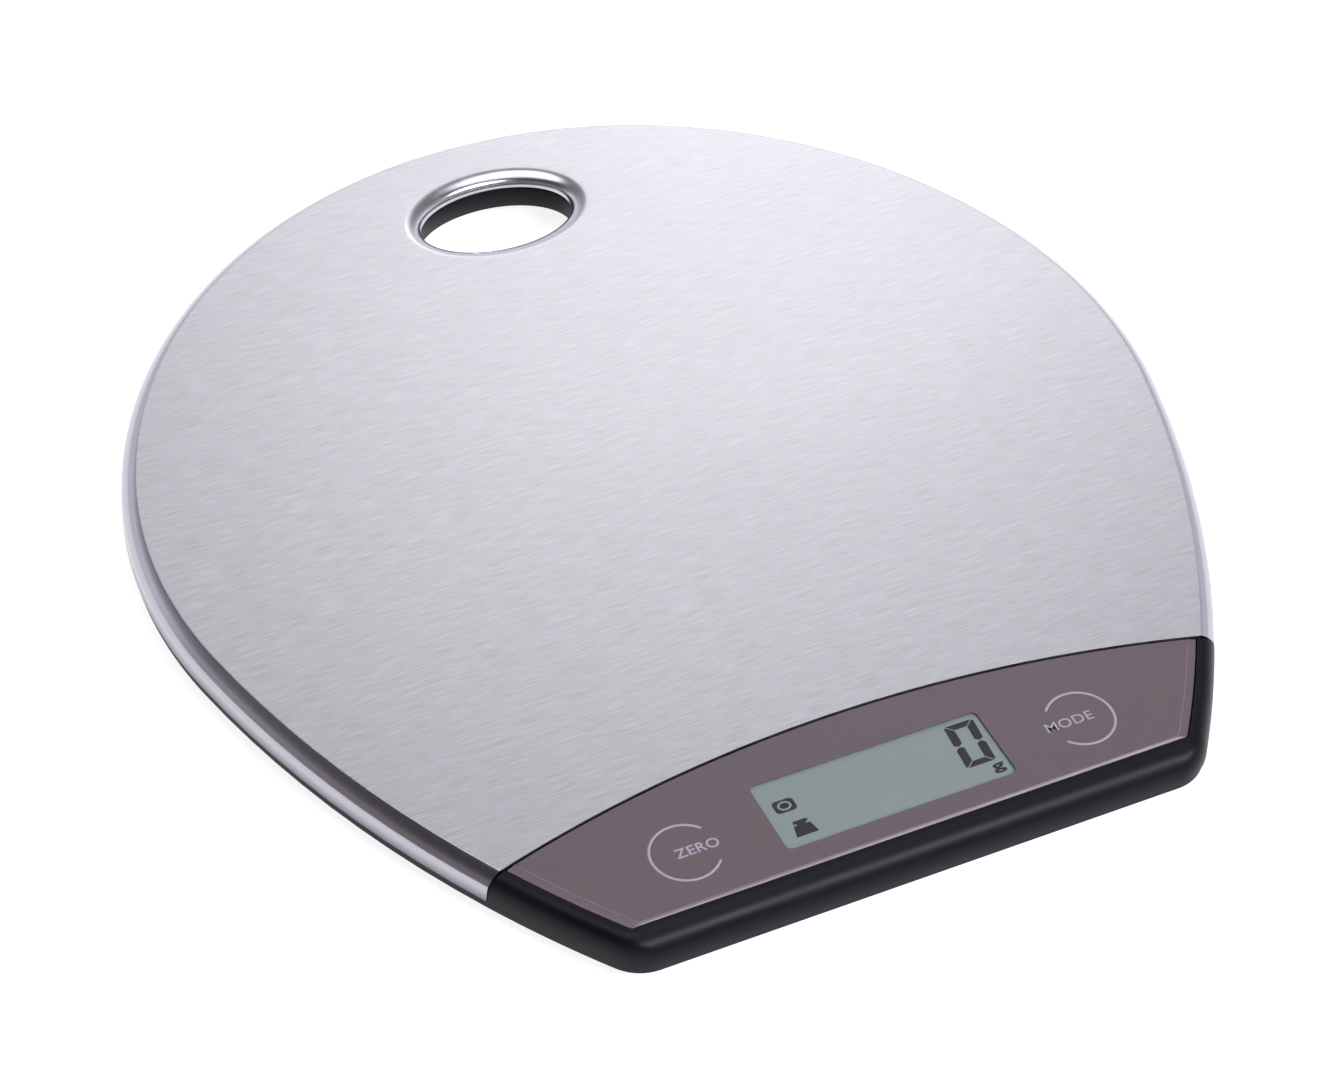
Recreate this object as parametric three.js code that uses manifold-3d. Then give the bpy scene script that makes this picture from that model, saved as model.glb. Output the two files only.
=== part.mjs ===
// Slim electronic kitchen scale: a closed body of steel cover, upper housing and base cover that
// stands on four load-sensing feet. Millimetres, +Z up, display towards -Y, origin on the resting
// surface under the middle of the body.
import * as THREE from 'three';
import { mergeVertices } from 'three/addons/utils/BufferGeometryUtils.js';
import Module from 'manifold-3d';

const wasm = await Module();
wasm.setup();

// ---------------------------------------------------------------- driving dimensions
const BODY_LENGTH = 230;            // front face to rear edge
const TOTAL_HEIGHT = 12;            // resting surface to weighing surface
const FOOT_HEIGHT = 3.2;            // resting surface to underside of the base
const RIM_WIDTH = 3.6;              // how far the rounded rim stands outside the flat top
const RIM_ROUND = 4;                // height over which the rim rounds down to the skirt
const SKIRT_BOTTOM = 5.85;          // lower edge of the steel skirt and of the upper housing
const SHEET = 0.5;                  // steel sheet thickness
const FIT = 0.3;                    // clearance between pieces cut to the same outline
const SEAT = 0.1;                   // clearance between pieces that lie flat on each other

// Outline of the flat top: arcs that run tangent into each other from the rear middle round to
// the front corner. Each ends where its outward normal has turned this far from straight back.
const TOP_ARCS = [
  { radius: 105, until: 40 },
  { radius: 110, until: 75 },
  { radius: 98, until: 102.7 },
  { radius: 237, until: 180 },
];
const HALF_TOP = BODY_LENGTH / 2 - RIM_WIDTH;
const FRONT_CORNER = 3;             // corner radius of the flat top at the front
const ARC_STEPS = 3;                // facets on each arc of an outline, in pairs
const OVAL_STEPS = 10;              // facets round the hang hole, in pairs

// Console: everything in front of one shallow arc across the body
const CONSOLE_RADIUS = 272;
const CONSOLE_REAR = -76.9;         // rearmost point of that arc
const PANEL_FRONT = -109.4;
const PANEL_INSET = 0.6;
const PANEL_TOP = 11.9;
const PANEL_THICK = 1.4;
const TAPE_THICK = 0.2;
const HOUSING_TOP = 11.6;           // shoulder of the housing around the panel

const DISPLAY_Y = -95.8;
const DISPLAY_GLASS = { x: 54, y: 22, thick: 0.7 };
const DISPLAY_LEDGE = 2.8;          // front glass reaches this far past the rear glass
const DISPLAY_FRAME = { x: 58, y: 26 };
const REFLECTOR_THICK = 0.2;
const KEY_X = 42.2;
const KEY_Y = -97.1;
const KEY_HOLE = 7.2;
const KEY_SPRING = { wire: 0.35, low: 4, high: 5.6, turns: 3 };
const TAPE_MARGIN = 1.2;            // tape stays this far inside the panel's edge

const HOLE_Y = 87.4;                // hang hole, an oval
const HOLE_HALF = { x: 17.5, y: 10.9 };
const HOLE_ROLL = { out: 3, down: 2.2 };
const HOLE_COLLAR = 3.4;            // depth of the drawn steel collar
const HOLE_SLEEVE = { gap: 0.4, wall: 1.6 };

const WALL = 2;
const PLATE_TOP = TOTAL_HEIGHT - SHEET - 0.2;
const PLATE_THICK = 1.4;
const BED_TOP = PANEL_TOP - PANEL_THICK - TAPE_THICK - 2 * SEAT;
const BED_THICK = 1.2;

const BASE_TOP = SKIRT_BOTTOM - 0.35;
const BASE_FLOOR = 1.4;
const FLOOR_TOP = FOOT_HEIGHT + BASE_FLOOR;
const BASE_INSET = 1;               // base strip stands in from the skirt
const BASE_ROUND = 1;
const BASE_LIP = { top: 7.4, thick: 1.2 };

const BOARD = { x: 100, front: -110, rear: -86, bottom: 5.6, thick: 1 };
const BOARD_SCREW = { x: 33, y: -106.5, head: 1.9, headHeight: 0.8, shank: 0.85, boss: 2.2, pilot: 1 };

const FEET = {
  front_left: [-58, -70],
  front_right: [58, -70],
  rear_left: [-58, 62],
  rear_right: [58, 62],
};
const FOOT_HOLE = 9.5;
const CELL = { side: 26, bottom: 5.4, thick: 1.2 };
const CELL_POCKET = { side: 31, wall: 2, ledge: 22 };
const TONGUE = { half: 4.75, slot: 1.6, length: 16 };
const CELL_GAP = 0.35;              // foot stem to load cell
const PAD_TOP = 1.9;

const SCREWS = {
  front_left: [-56.5, -99],
  front_right: [56.5, -99],
  side_left: [-92, -4],
  side_right: [92, -4],
  rear_left: [-44, 89],
  rear_right: [44, 89],
};
const SCREW = { head: 2.4, headHeight: 0.9, shank: 0.95, boss: 3, bossBottom: 4.9, well: 3, wall: 1.2 };

const BATTERY = { x: 0, y: -48, radius: 10, thick: 3.2, bottom: 5.2 };
const BATTERY_WELL = { bore: 10.4, outer: 12, top: 8.6, pad: 31, padThick: 0.6 };
const CONTACT_LEAF = 0.25;
const DOOR = { side: 26, thick: 1.2, pinRadius: 0.35, pinReach: 0.9, notch: 4 };

const SIDES = { tiny: 8, small: 12, large: 20, fine: 24 };
const EVERYWHERE = 2 * BODY_LENGTH; // side of a tool that spans the whole body

// ---------------------------------------------------------------- solids
const radians = THREE.MathUtils.degToRad;

function solidOf(geometry) {
  geometry.deleteAttribute('normal');
  geometry.deleteAttribute('uv');
  const merged = mergeVertices(geometry, 1e-4);
  return new wasm.Manifold(new wasm.Mesh({
    numProp: 3,
    vertProperties: new Float32Array(merged.attributes.position.array),
    triVerts: new Uint32Array(merged.index.array),
  }));
}

function geometryOf(solid) {
  const mesh = solid.getMesh();
  const geometry = new THREE.BufferGeometry();
  geometry.setAttribute('position', new THREE.BufferAttribute(mesh.vertProperties, 3));
  geometry.setIndex(new THREE.BufferAttribute(mesh.triVerts, 1));
  geometry.computeVertexNormals();
  return geometry;
}

const joined = (...solids) => solids.reduce((all, solid) => all.add(solid));
const cut = (solid, ...tools) => tools.reduce((rest, tool) => rest.subtract(tool), solid);

function prism(shape, bottom, top, curveSegments = ARC_STEPS) {
  const geometry = new THREE.ExtrudeGeometry(shape, {
    depth: top - bottom, bevelEnabled: false, curveSegments,
  });
  return solidOf(geometry.translate(0, 0, bottom));
}

function block(x, y, bottom, sizeX, sizeY, top) {
  const geometry = new THREE.BoxGeometry(sizeX, sizeY, top - bottom);
  return solidOf(geometry.translate(x, y, (bottom + top) / 2));
}

function disc(x, y, radius, bottom, top, sides = SIDES.large) {
  const geometry = new THREE.CylinderGeometry(radius, radius, top - bottom, sides);
  return solidOf(geometry.rotateX(Math.PI / 2).translate(x, y, (bottom + top) / 2));
}

function ovalShape(halfX, halfY) {
  const shape = new THREE.Shape();
  shape.absellipse(0, HOLE_Y, halfX, halfY, 0, 2 * Math.PI);
  return shape;
}

// Right half of the body outline as arcs, {centre, radius, from, to} with angles measured from
// straight back, clockwise. The offset moves the whole outline outwards.
function halfOutline(offset) {
  const arcs = [];
  let start = 0;
  let centre = new THREE.Vector2(0, HALF_TOP - TOP_ARCS[0].radius);
  TOP_ARCS.forEach(({ radius, until }, index) => {
    if (index > 0) {
      const outward = new THREE.Vector2(Math.sin(start), Math.cos(start));
      centre = centre.clone().addScaledVector(outward, TOP_ARCS[index - 1].radius - radius);
    }
    arcs.push({ centre, radius: radius + offset, from: start, to: radians(until) });
    start = radians(until);
  });
  const flank = arcs[arcs.length - 1];
  const corner = FRONT_CORNER + offset;
  const reach = flank.radius - corner;
  const cornerY = -HALF_TOP + FRONT_CORNER;
  const cornerX = flank.centre.x + Math.sqrt(reach ** 2 - (cornerY - flank.centre.y) ** 2);
  flank.to = Math.PI / 2 + Math.asin((flank.centre.y - cornerY) / reach);
  arcs.push({ centre: new THREE.Vector2(cornerX, cornerY), radius: corner, from: flank.to, to: Math.PI });
  return arcs;
}

function bodyShape(offset) {
  const shape = new THREE.Shape();
  const arcs = halfOutline(offset);
  arcs.forEach(({ centre, radius, from, to }) => {
    shape.absarc(centre.x, centre.y, radius, Math.PI / 2 - from, Math.PI / 2 - to, true);
  });
  [...arcs].reverse().forEach(({ centre, radius, from, to }) => {
    shape.absarc(-centre.x, centre.y, radius, Math.PI / 2 + to, Math.PI / 2 + from, true);
  });
  return shape;
}

// The body as a pillow: flat top at height top, rounded rim, straight sides down to bottom
function pillow(offset, top, bottom) {
  const geometry = new THREE.ExtrudeGeometry(bodyShape(offset), {
    depth: top - bottom,
    bevelThickness: RIM_ROUND,
    bevelSize: RIM_WIDTH,
    bevelSegments: 3,
    curveSegments: ARC_STEPS,
  });
  const whole = solidOf(geometry.translate(0, 0, bottom - RIM_ROUND));
  return cut(whole, block(0, 0, bottom - 3 * RIM_ROUND, EVERYWHERE, EVERYWHERE, bottom));
}

// Everything in front of the console arc, moved back by offset
function consoleZone(offset) {
  const halfWidth = BODY_LENGTH / 2;
  const centreY = CONSOLE_REAR - CONSOLE_RADIUS;
  const half = Math.asin(halfWidth / CONSOLE_RADIUS);
  const shape = new THREE.Shape();
  shape.moveTo(halfWidth, -BODY_LENGTH);
  shape.absarc(0, centreY, CONSOLE_RADIUS + offset, Math.PI / 2 - half, Math.PI / 2 + half, false);
  shape.lineTo(-halfWidth, -BODY_LENGTH);
  return prism(shape, -TOTAL_HEIGHT, 2 * TOTAL_HEIGHT, SIDES.small);
}

// ---------------------------------------------------------------- materials
const paint = (color, roughness, metalness = 0) =>
  new THREE.MeshStandardMaterial({ color, roughness, metalness });

const MATERIAL = {
  brushedSteel: () => paint(0xc4c5ca, 0.35, 1),
  blackAbs: () => paint(0x15151a, 0.35),
  baseAbs: () => paint(0x1f1d26, 0.55),
  panel: () => paint(0x6b6165, 0.12),
  tape: () => paint(0x2a2a2c, 0.9),
  glass: () => paint(0x83948f, 0.08),
  reflector: () => paint(0xb9c4bd, 0.5),
  whitePlastic: () => paint(0xd8d8d2, 0.5),
  elastomer: () => paint(0x3a3a3e, 0.7),
  board: () => paint(0x1d5a3a, 0.45),
  epoxy: () => paint(0x0c0c0d, 0.4),
  springSteel: () => paint(0xb4b4b0, 0.3, 1),
  nickel: () => paint(0xcdc9c0, 0.25, 1),
  rubber: () => paint(0x2b2b2d, 0.85),
  lead: () => paint(0x35353a, 0.6),
};

const scale = new THREE.Group();

function addPiece(name, solid, material) {
  const mesh = new THREE.Mesh(geometryOf(solid), material());
  mesh.name = name;
  scale.add(mesh);
}

// ---------------------------------------------------------------- cover
// An oval tool that widens upwards in a quarter round and is level with the surface at top
function trumpet(growth, out, down, top) {
  const wide = ovalShape(HOLE_HALF.x + growth + out, HOLE_HALF.y + growth + out);
  const depth = 3 * TOTAL_HEIGHT;
  const geometry = new THREE.ExtrudeGeometry(wide, {
    depth,
    bevelThickness: down,
    bevelSize: -out,
    bevelSegments: 3,
    curveSegments: OVAL_STEPS,
  });
  const flared = solidOf(geometry.translate(0, 0, top - depth - down));
  return flared.add(prism(wide, top - SEAT, top + 1, OVAL_STEPS));
}

function coverPiece() {
  const outer = pillow(0, TOTAL_HEIGHT, SKIRT_BOTTOM);
  const inner = pillow(-SHEET, TOTAL_HEIGHT - SHEET, SKIRT_BOTTOM - 1);
  const drawn = trumpet(SHEET, HOLE_ROLL.out - SHEET, HOLE_ROLL.down - SHEET, TOTAL_HEIGHT - SHEET);
  const collar = slice(drawn, TOTAL_HEIGHT - HOLE_COLLAR, TOTAL_HEIGHT - SHEET);
  const bore = trumpet(0, HOLE_ROLL.out, HOLE_ROLL.down, TOTAL_HEIGHT);
  return cut(joined(cut(outer, inner), collar), bore, consoleZone(0));
}

// ---------------------------------------------------------------- upper housing
// A round boss and the pilot hole up its middle
function screwBoss(x, y, radius, pilotRadius, bottom, pilotTop) {
  return {
    boss: disc(x, y, radius, bottom, BED_TOP - SEAT, SIDES.small),
    pilot: disc(x, y, pilotRadius, 0, pilotTop, SIDES.tiny),
  };
}

// Plate under the cover and the console body in front of it, hollowed, with the panel's recess
function housingShell() {
  const inside = -(SHEET + FIT);
  const underCover = pillow(inside, PLATE_TOP, SKIRT_BOTTOM);
  const consoleBody = pillow(0, HOUSING_TOP, SKIRT_BOTTOM).intersect(consoleZone(-FIT));
  const cavity = prism(bodyShape(RIM_WIDTH + inside - WALL), 0, PLATE_TOP - PLATE_THICK);
  const aboveBed = block(0, 0, BED_TOP - BED_THICK, EVERYWHERE, EVERYWHERE, TOTAL_HEIGHT);
  const cavityUnderBed = cut(cavity, aboveBed.intersect(consoleZone(WALL)));
  const recess = slice(panelBlank(FIT / 2), BED_TOP, 2 * TOTAL_HEIGHT);
  return cut(joined(underCover, consoleBody), cavityUnderBed, recess);
}

// Sleeve that lines the hang hole, its bore, and the room for the cover's drawn collar
function hangHoleParts() {
  const bore = HOLE_SLEEVE.gap;
  const outside = bore + HOLE_SLEEVE.wall;
  const sleeveShape = ovalShape(HOLE_HALF.x + outside, HOLE_HALF.y + outside);
  const boreShape = ovalShape(HOLE_HALF.x + bore, HOLE_HALF.y + bore);
  const flare = trumpet(SHEET + FIT, HOLE_ROLL.out - SHEET, HOLE_ROLL.down - SHEET, PLATE_TOP);
  return {
    sleeve: prism(sleeveShape, FOOT_HEIGHT + SEAT, PLATE_TOP - 1, OVAL_STEPS),
    sleeveBore: prism(boreShape, 0, 2 * TOTAL_HEIGHT, OVAL_STEPS),
    collarRoom: slice(flare, TOTAL_HEIGHT - HOLE_COLLAR - FIT, 2 * TOTAL_HEIGHT),
  };
}

function housingPiece() {
  const bedUnder = BED_TOP - BED_THICK;
  const boardTop = BOARD.bottom + BOARD.thick;
  const { x: screwX, y: screwY, boss: bossRadius, pilot: pilotRadius } = BOARD_SCREW;
  const bosses = [
    ...Object.values(SCREWS).map(([x, y]) =>
      screwBoss(x, y, SCREW.boss, SCREW.shank + SEAT, SCREW.bossBottom, bedUnder)),
    ...[-screwX, screwX].map((x) =>
      screwBoss(x, screwY, bossRadius, pilotRadius, boardTop + SEAT, BED_TOP - 1)),
  ];
  const windowHole = displayRoom(0, BED_TOP + 1);
  const keyHoles = [-KEY_X, KEY_X].map((x) => disc(x, KEY_Y, KEY_HOLE, 0, BED_TOP + 1));
  const { sleeve, sleeveBore, collarRoom } = hangHoleParts();
  return cut(
    joined(housingShell(), sleeve, ...bosses.map(({ boss }) => boss)),
    sleeveBore, collarRoom, windowHole, ...keyHoles, ...bosses.map(({ pilot }) => pilot),
  );
}

// ---------------------------------------------------------------- control panel and display
// Plan of the panel, grown by growth: the flanks of the flat top, the console arc, a straight front
function panelBlank(growth) {
  const plan = prism(bodyShape(growth - PANEL_INSET), 0, 2 * TOTAL_HEIGHT);
  const front = PANEL_FRONT - growth;
  const behindFront = block(0, front + BODY_LENGTH / 2, 0, BODY_LENGTH, BODY_LENGTH, 2 * TOTAL_HEIGHT);
  return plan.intersect(behindFront).intersect(consoleZone(growth - FIT));
}

function slice(solid, bottom, top) {
  return solid.intersect(block(0, 0, bottom, EVERYWHERE, EVERYWHERE, top));
}

// Room for the display's frame
function displayRoom(bottom, top) {
  return block(0, DISPLAY_Y, bottom, DISPLAY_FRAME.x + 2 * FIT, DISPLAY_FRAME.y + 2 * FIT, top);
}

function addPanel() {
  addPiece('control_panel', slice(panelBlank(0), PANEL_TOP - PANEL_THICK, PANEL_TOP), MATERIAL.panel);

  const tapeBottom = BED_TOP + SEAT;
  const tape = cut(
    slice(panelBlank(-TAPE_MARGIN), tapeBottom, tapeBottom + TAPE_THICK),
    displayRoom(0, TOTAL_HEIGHT),
    disc(-KEY_X, KEY_Y, KEY_HOLE, 0, TOTAL_HEIGHT),
    disc(KEY_X, KEY_Y, KEY_HOLE, 0, TOTAL_HEIGHT),
  );
  addPiece('panel_tape', tape, MATERIAL.tape);
}

// Two glasses with the reflector behind them, in a frame that holds the elastomer strip under the
// ledge of the front glass
function addDisplay() {
  const { x: width, y: depth, thick } = DISPLAY_GLASS;
  const frontGlass = BED_TOP - thick;
  const rearGlass = frontGlass - SEAT - thick;
  const rearDepth = depth - DISPLAY_LEDGE;
  const rearY = DISPLAY_Y + DISPLAY_LEDGE / 2;
  const reflectorTop = rearGlass - SEAT;
  const reflectorBottom = reflectorTop - REFLECTOR_THICK;
  addPiece('lcd_front_glass', block(0, DISPLAY_Y, frontGlass, width, depth, BED_TOP), MATERIAL.glass);
  addPiece('lcd_rear_glass', block(0, rearY, rearGlass, width, rearDepth, rearGlass + thick), MATERIAL.glass);
  addPiece('lcd_reflector', block(0, rearY, reflectorBottom, width - 1, rearDepth - 1, reflectorTop),
    MATERIAL.reflector);

  const frameBottom = BOARD.bottom + BOARD.thick + SEAT;
  const strip = { x: width - 4, y: 1.8, slot: 2.2 };
  const stripY = DISPLAY_Y - (depth - DISPLAY_LEDGE) / 2;
  const lightHole = { x: width - 4, y: rearDepth - 5 };
  const frameRing = cut(
    block(0, DISPLAY_Y, frameBottom, DISPLAY_FRAME.x, DISPLAY_FRAME.y, BED_TOP),
    block(0, DISPLAY_Y, reflectorBottom - SEAT, width + 2 * SEAT, depth + 2 * SEAT, TOTAL_HEIGHT),
    block(0, DISPLAY_Y + DISPLAY_LEDGE, 0, lightHole.x, lightHole.y, TOTAL_HEIGHT),
    block(0, stripY, 0, strip.x + 1, strip.slot, TOTAL_HEIGHT),
  );
  addPiece('lcd_frame', frameRing, MATERIAL.whitePlastic);
  addPiece('lcd_connector', block(0, stripY, frameBottom, strip.x, strip.y, frontGlass - SEAT),
    MATERIAL.elastomer);
}

// ---------------------------------------------------------------- electronics
class Helix extends THREE.Curve {
  constructor(x, y, bottom, top, lowRadius, highRadius, turns) {
    super();
    Object.assign(this, { x, y, bottom, top, lowRadius, highRadius, turns });
  }

  getPoint(t, target = new THREE.Vector3()) {
    const angle = t * this.turns * 2 * Math.PI;
    const radius = THREE.MathUtils.lerp(this.lowRadius, this.highRadius, t);
    const z = THREE.MathUtils.lerp(this.bottom, this.top, t);
    return target.set(this.x + radius * Math.cos(angle), this.y + radius * Math.sin(angle), z);
  }
}

// Round section along a path, six-sided
function tube(path, radius, steps) {
  const section = new THREE.Shape();
  section.absarc(0, 0, radius, 0, 2 * Math.PI);
  const geometry = new THREE.ExtrudeGeometry(section, {
    steps, bevelEnabled: false, extrudePath: path, curveSegments: 3,
  });
  return solidOf(geometry);
}

// Profile of radius and height pairs, turned about the vertical through (x, y)
function turned(profile, x, y, bottom, sides) {
  const geometry = new THREE.LatheGeometry(profile.map(([r, z]) => new THREE.Vector2(r, z)), sides);
  return solidOf(geometry.rotateX(Math.PI / 2).translate(x, y, bottom));
}

// Cross-recessed screw with its head down, from the head's face up to the shank's tip
function screwPiece(x, y, bottom, { head, headHeight, shank }, top) {
  const length = top - bottom;
  const blank = turned([
    [0, 0], [head * 0.8, 0], [head, headHeight * 0.45], [head, headHeight], [shank, headHeight],
    [shank, length - shank], [0, length],
  ], x, y, bottom, SIDES.tiny);
  const slot = { wide: 0.5, long: head * 1.2, top: bottom + headHeight * 0.6 };
  return cut(
    blank,
    block(x, y, bottom - 1, slot.wide, slot.long, slot.top),
    block(x, y, bottom - 1, slot.long, slot.wide, slot.top),
  );
}

function addBoard() {
  const top = BOARD.bottom + BOARD.thick;
  const middle = (BOARD.front + BOARD.rear) / 2;
  const screwPlaces = { left: -BOARD_SCREW.x, right: BOARD_SCREW.x };
  const board = cut(
    block(0, middle, BOARD.bottom, BOARD.x, BOARD.rear - BOARD.front, top),
    ...Object.values(screwPlaces).map((x) => disc(x, BOARD_SCREW.y, 1.2, 0, TOTAL_HEIGHT, SIDES.small)),
  );
  addPiece('main_board', board, MATERIAL.board);

  const under = BOARD.bottom - SEAT;
  const potting = [[0, -0.8], [2.6, -0.65], [4.2, -0.3], [4.6, 0], [0, 0]];
  addPiece('controller_chip', turned(potting, 8, -97, under, SIDES.large), MATERIAL.epoxy);
  addPiece('crystal', block(22, -97, under - 0.7, 2, 6, under), MATERIAL.nickel);
  addPiece('capacitor_left', block(-12, -101, under - 0.6, 1.6, 3.2, under), MATERIAL.elastomer);
  addPiece('capacitor_right', block(-12, -94, under - 0.6, 1.6, 3.2, under), MATERIAL.elastomer);

  Object.entries(screwPlaces).forEach(([side, x]) => {
    const bottom = BOARD.bottom - SEAT - BOARD_SCREW.headHeight;
    const screw = screwPiece(x, BOARD_SCREW.y, bottom, BOARD_SCREW, BED_TOP - BED_THICK);
    addPiece(`board_screw_${side}`, screw, MATERIAL.nickel);
  });
}

function addTouchSprings() {
  const { wire, low, high, turns } = KEY_SPRING;
  const bottom = BOARD.bottom + BOARD.thick + SEAT + wire;
  const top = PANEL_TOP - PANEL_THICK - SEAT - wire;
  Object.entries({ zero: -KEY_X, mode: KEY_X }).forEach(([key, x]) => {
    const coil = tube(new Helix(x, KEY_Y, bottom, top, low, high, turns), wire, 10 * turns);
    addPiece(`touch_spring_${key}`, coil, MATERIAL.springSteel);
  });
}

// ---------------------------------------------------------------- base cover
// Four walls with a ledge that carries the load cell's edge
function cellPocket([x, y]) {
  const { side, wall, ledge } = CELL_POCKET;
  const nest = side - 2 * wall;
  const top = CELL.bottom + CELL.thick;
  return cut(
    block(x, y, FLOOR_TOP - SEAT, side, side, top),
    block(x, y, CELL.bottom - SEAT, nest, nest, top + 1),
    block(x, y, 0, ledge, ledge, TOTAL_HEIGHT),
  );
}

// Tray with a rounded lower edge, and the lip that stands up inside the upper housing
function baseTray() {
  const edge = RIM_WIDTH - BASE_INSET;
  const inner = RIM_WIDTH - SHEET - FIT - WALL - FIT - BASE_LIP.thick;
  const blank = new THREE.ExtrudeGeometry(bodyShape(edge - BASE_ROUND), {
    depth: TOTAL_HEIGHT,
    bevelThickness: BASE_ROUND,
    bevelSize: BASE_ROUND,
    bevelSegments: 2,
    curveSegments: ARC_STEPS,
  });
  const outside = slice(solidOf(blank.translate(0, 0, FOOT_HEIGHT + BASE_ROUND)), 0, BASE_TOP);
  const lip = prism(bodyShape(inner + BASE_LIP.thick), FLOOR_TOP - SEAT, BASE_LIP.top);
  const room = prism(bodyShape(inner), FLOOR_TOP, TOTAL_HEIGHT);
  return cut(joined(outside, lip), room);
}

function basePiece() {
  const { bore, outer, top: wellTop, pad, padThick } = BATTERY_WELL;
  const well = joined(
    disc(BATTERY.x, BATTERY.y, outer, FLOOR_TOP - SEAT, wellTop, SIDES.fine),
    block(BATTERY.x, BATTERY.y, FLOOR_TOP - SEAT, pad, pad, FLOOR_TOP + padThick),
  );
  const screwWells = Object.values(SCREWS).map(([x, y]) => ({
    pad: disc(x, y, SCREW.well + SCREW.wall, FLOOR_TOP - SEAT, FLOOR_TOP + 0.2, SIDES.small),
    head: disc(x, y, SCREW.well, 0, FLOOR_TOP - 0.4, SIDES.small),
    shank: disc(x, y, SCREW.shank + 0.4, 0, TOTAL_HEIGHT, SIDES.tiny),
  }));
  const sleeveRoom = HOLE_SLEEVE.gap + HOLE_SLEEVE.wall + FIT;
  return cut(
    joined(baseTray(), well, ...Object.values(FEET).map(cellPocket), ...screwWells.map((screw) => screw.pad)),
    prism(ovalShape(HOLE_HALF.x + sleeveRoom, HOLE_HALF.y + sleeveRoom), 0, TOTAL_HEIGHT, OVAL_STEPS),
    disc(BATTERY.x, BATTERY.y, bore, 0, TOTAL_HEIGHT, SIDES.fine),
    block(BATTERY.x, BATTERY.y + bore, FLOOR_TOP, 7, 2.4, TOTAL_HEIGHT),
    doorRoom(),
    hingeRod(DOOR.pinRadius + SEAT, DOOR.side + 2 * (DOOR.pinReach + FIT)),
    ...Object.values(FEET).map(([x, y]) => disc(x, y, FOOT_HOLE, 0, FLOOR_TOP + 0.5)),
    ...screwWells.flatMap(({ head, shank }) => [head, shank]),
  );
}

// ---------------------------------------------------------------- battery bay
// Rod along X at the door's hinge line, the middle of its rounded rear edge
function hingeRod(radius, length) {
  const geometry = new THREE.CylinderGeometry(radius, radius, length, SIDES.tiny);
  const edge = BATTERY.y + DOOR.side / 2 - DOOR.thick / 2;
  return solidOf(geometry.rotateZ(Math.PI / 2).translate(BATTERY.x, edge, FOOT_HEIGHT + DOOR.thick / 2));
}

// Recess in the underside that the door lies in
function doorRoom() {
  const side = DOOR.side + 2 * FIT;
  return block(BATTERY.x, BATTERY.y, FOOT_HEIGHT - 1, side, side, FOOT_HEIGHT + DOOR.thick + FIT);
}

function doorPiece() {
  const { side, thick, pinRadius, pinReach, notch } = DOOR;
  const top = FOOT_HEIGHT + thick;
  const plate = block(BATTERY.x, BATTERY.y - thick / 4, FOOT_HEIGHT, side, side - thick / 2, top);
  const fingerNotch = disc(BATTERY.x, BATTERY.y - side / 2, notch, 0, FOOT_HEIGHT + thick / 2);
  const pins = hingeRod(pinRadius, side + 2 * pinReach);
  return cut(joined(plate, hingeRod(thick / 2, side), pins), fingerNotch);
}

function addBatteryBay() {
  addPiece('battery_door', doorPiece(), MATERIAL.baseAbs);

  const { x, y, radius, thick, bottom } = BATTERY;
  const can = [
    [0, 0], [8.6, 0], [8.9, 0.3], [radius, 0.5], [radius, thick - 0.3], [radius - 0.3, thick], [0, thick],
  ];
  addPiece('coin_cell', turned(can, x, y, bottom, SIDES.fine), MATERIAL.nickel);

  const leafBottom = BATTERY_WELL.top + SEAT;
  const leafTop = leafBottom + CONTACT_LEAF;
  const negative = joined(
    block(x, y, leafBottom, 6, 2 * BATTERY_WELL.outer, leafTop),
    block(x, y, bottom + thick + SEAT, 4, 5, leafTop),
  );
  addPiece('battery_contact_negative', negative, MATERIAL.springSteel);

  const leafY = y + BATTERY_WELL.bore + 2 * CONTACT_LEAF;
  const positive = joined(
    block(x, leafY, bottom + 0.2, 5, CONTACT_LEAF, leafBottom - 2 * CONTACT_LEAF),
    block(x, leafY - CONTACT_LEAF, bottom + 1, 3, 0.6, bottom + 2.4),
  );
  addPiece('battery_contact_positive', positive, MATERIAL.springSteel);
}

// ---------------------------------------------------------------- load-sensing feet
// Sensor plate in the base: a stamped load cell whose tongue bears on the foot, and its clip
function addLoadCell(name, [x, y]) {
  const cellTop = CELL.bottom + CELL.thick;
  const { half, slot, length } = TONGUE;
  const plate = cut(
    block(x, y, CELL.bottom, CELL.side, CELL.side, cellTop),
    ...[-1, 1].map((side) => block(x + side * (half + slot / 2), y, 0, slot, length, TOTAL_HEIGHT)),
    block(x, y - length / 2, 0, 2 * (half + slot), slot, TOTAL_HEIGHT),
  );
  addPiece(`load_cell_${name}`, plate, MATERIAL.nickel);
  addPiece(`strain_gauge_${name}`, block(x, y + 5, cellTop + SEAT, 7, 5, cellTop + 0.7), MATERIAL.rubber);

  const clipInside = CELL.side - 4.5;
  const clip = cut(
    block(x, y, cellTop + SEAT, CELL_POCKET.side, CELL_POCKET.side, cellTop + 1.1),
    block(x, y, 0, clipInside, clipInside, TOTAL_HEIGHT),
  );
  addPiece(`cell_retainer_${name}`, clip, MATERIAL.whitePlastic);
}

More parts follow.
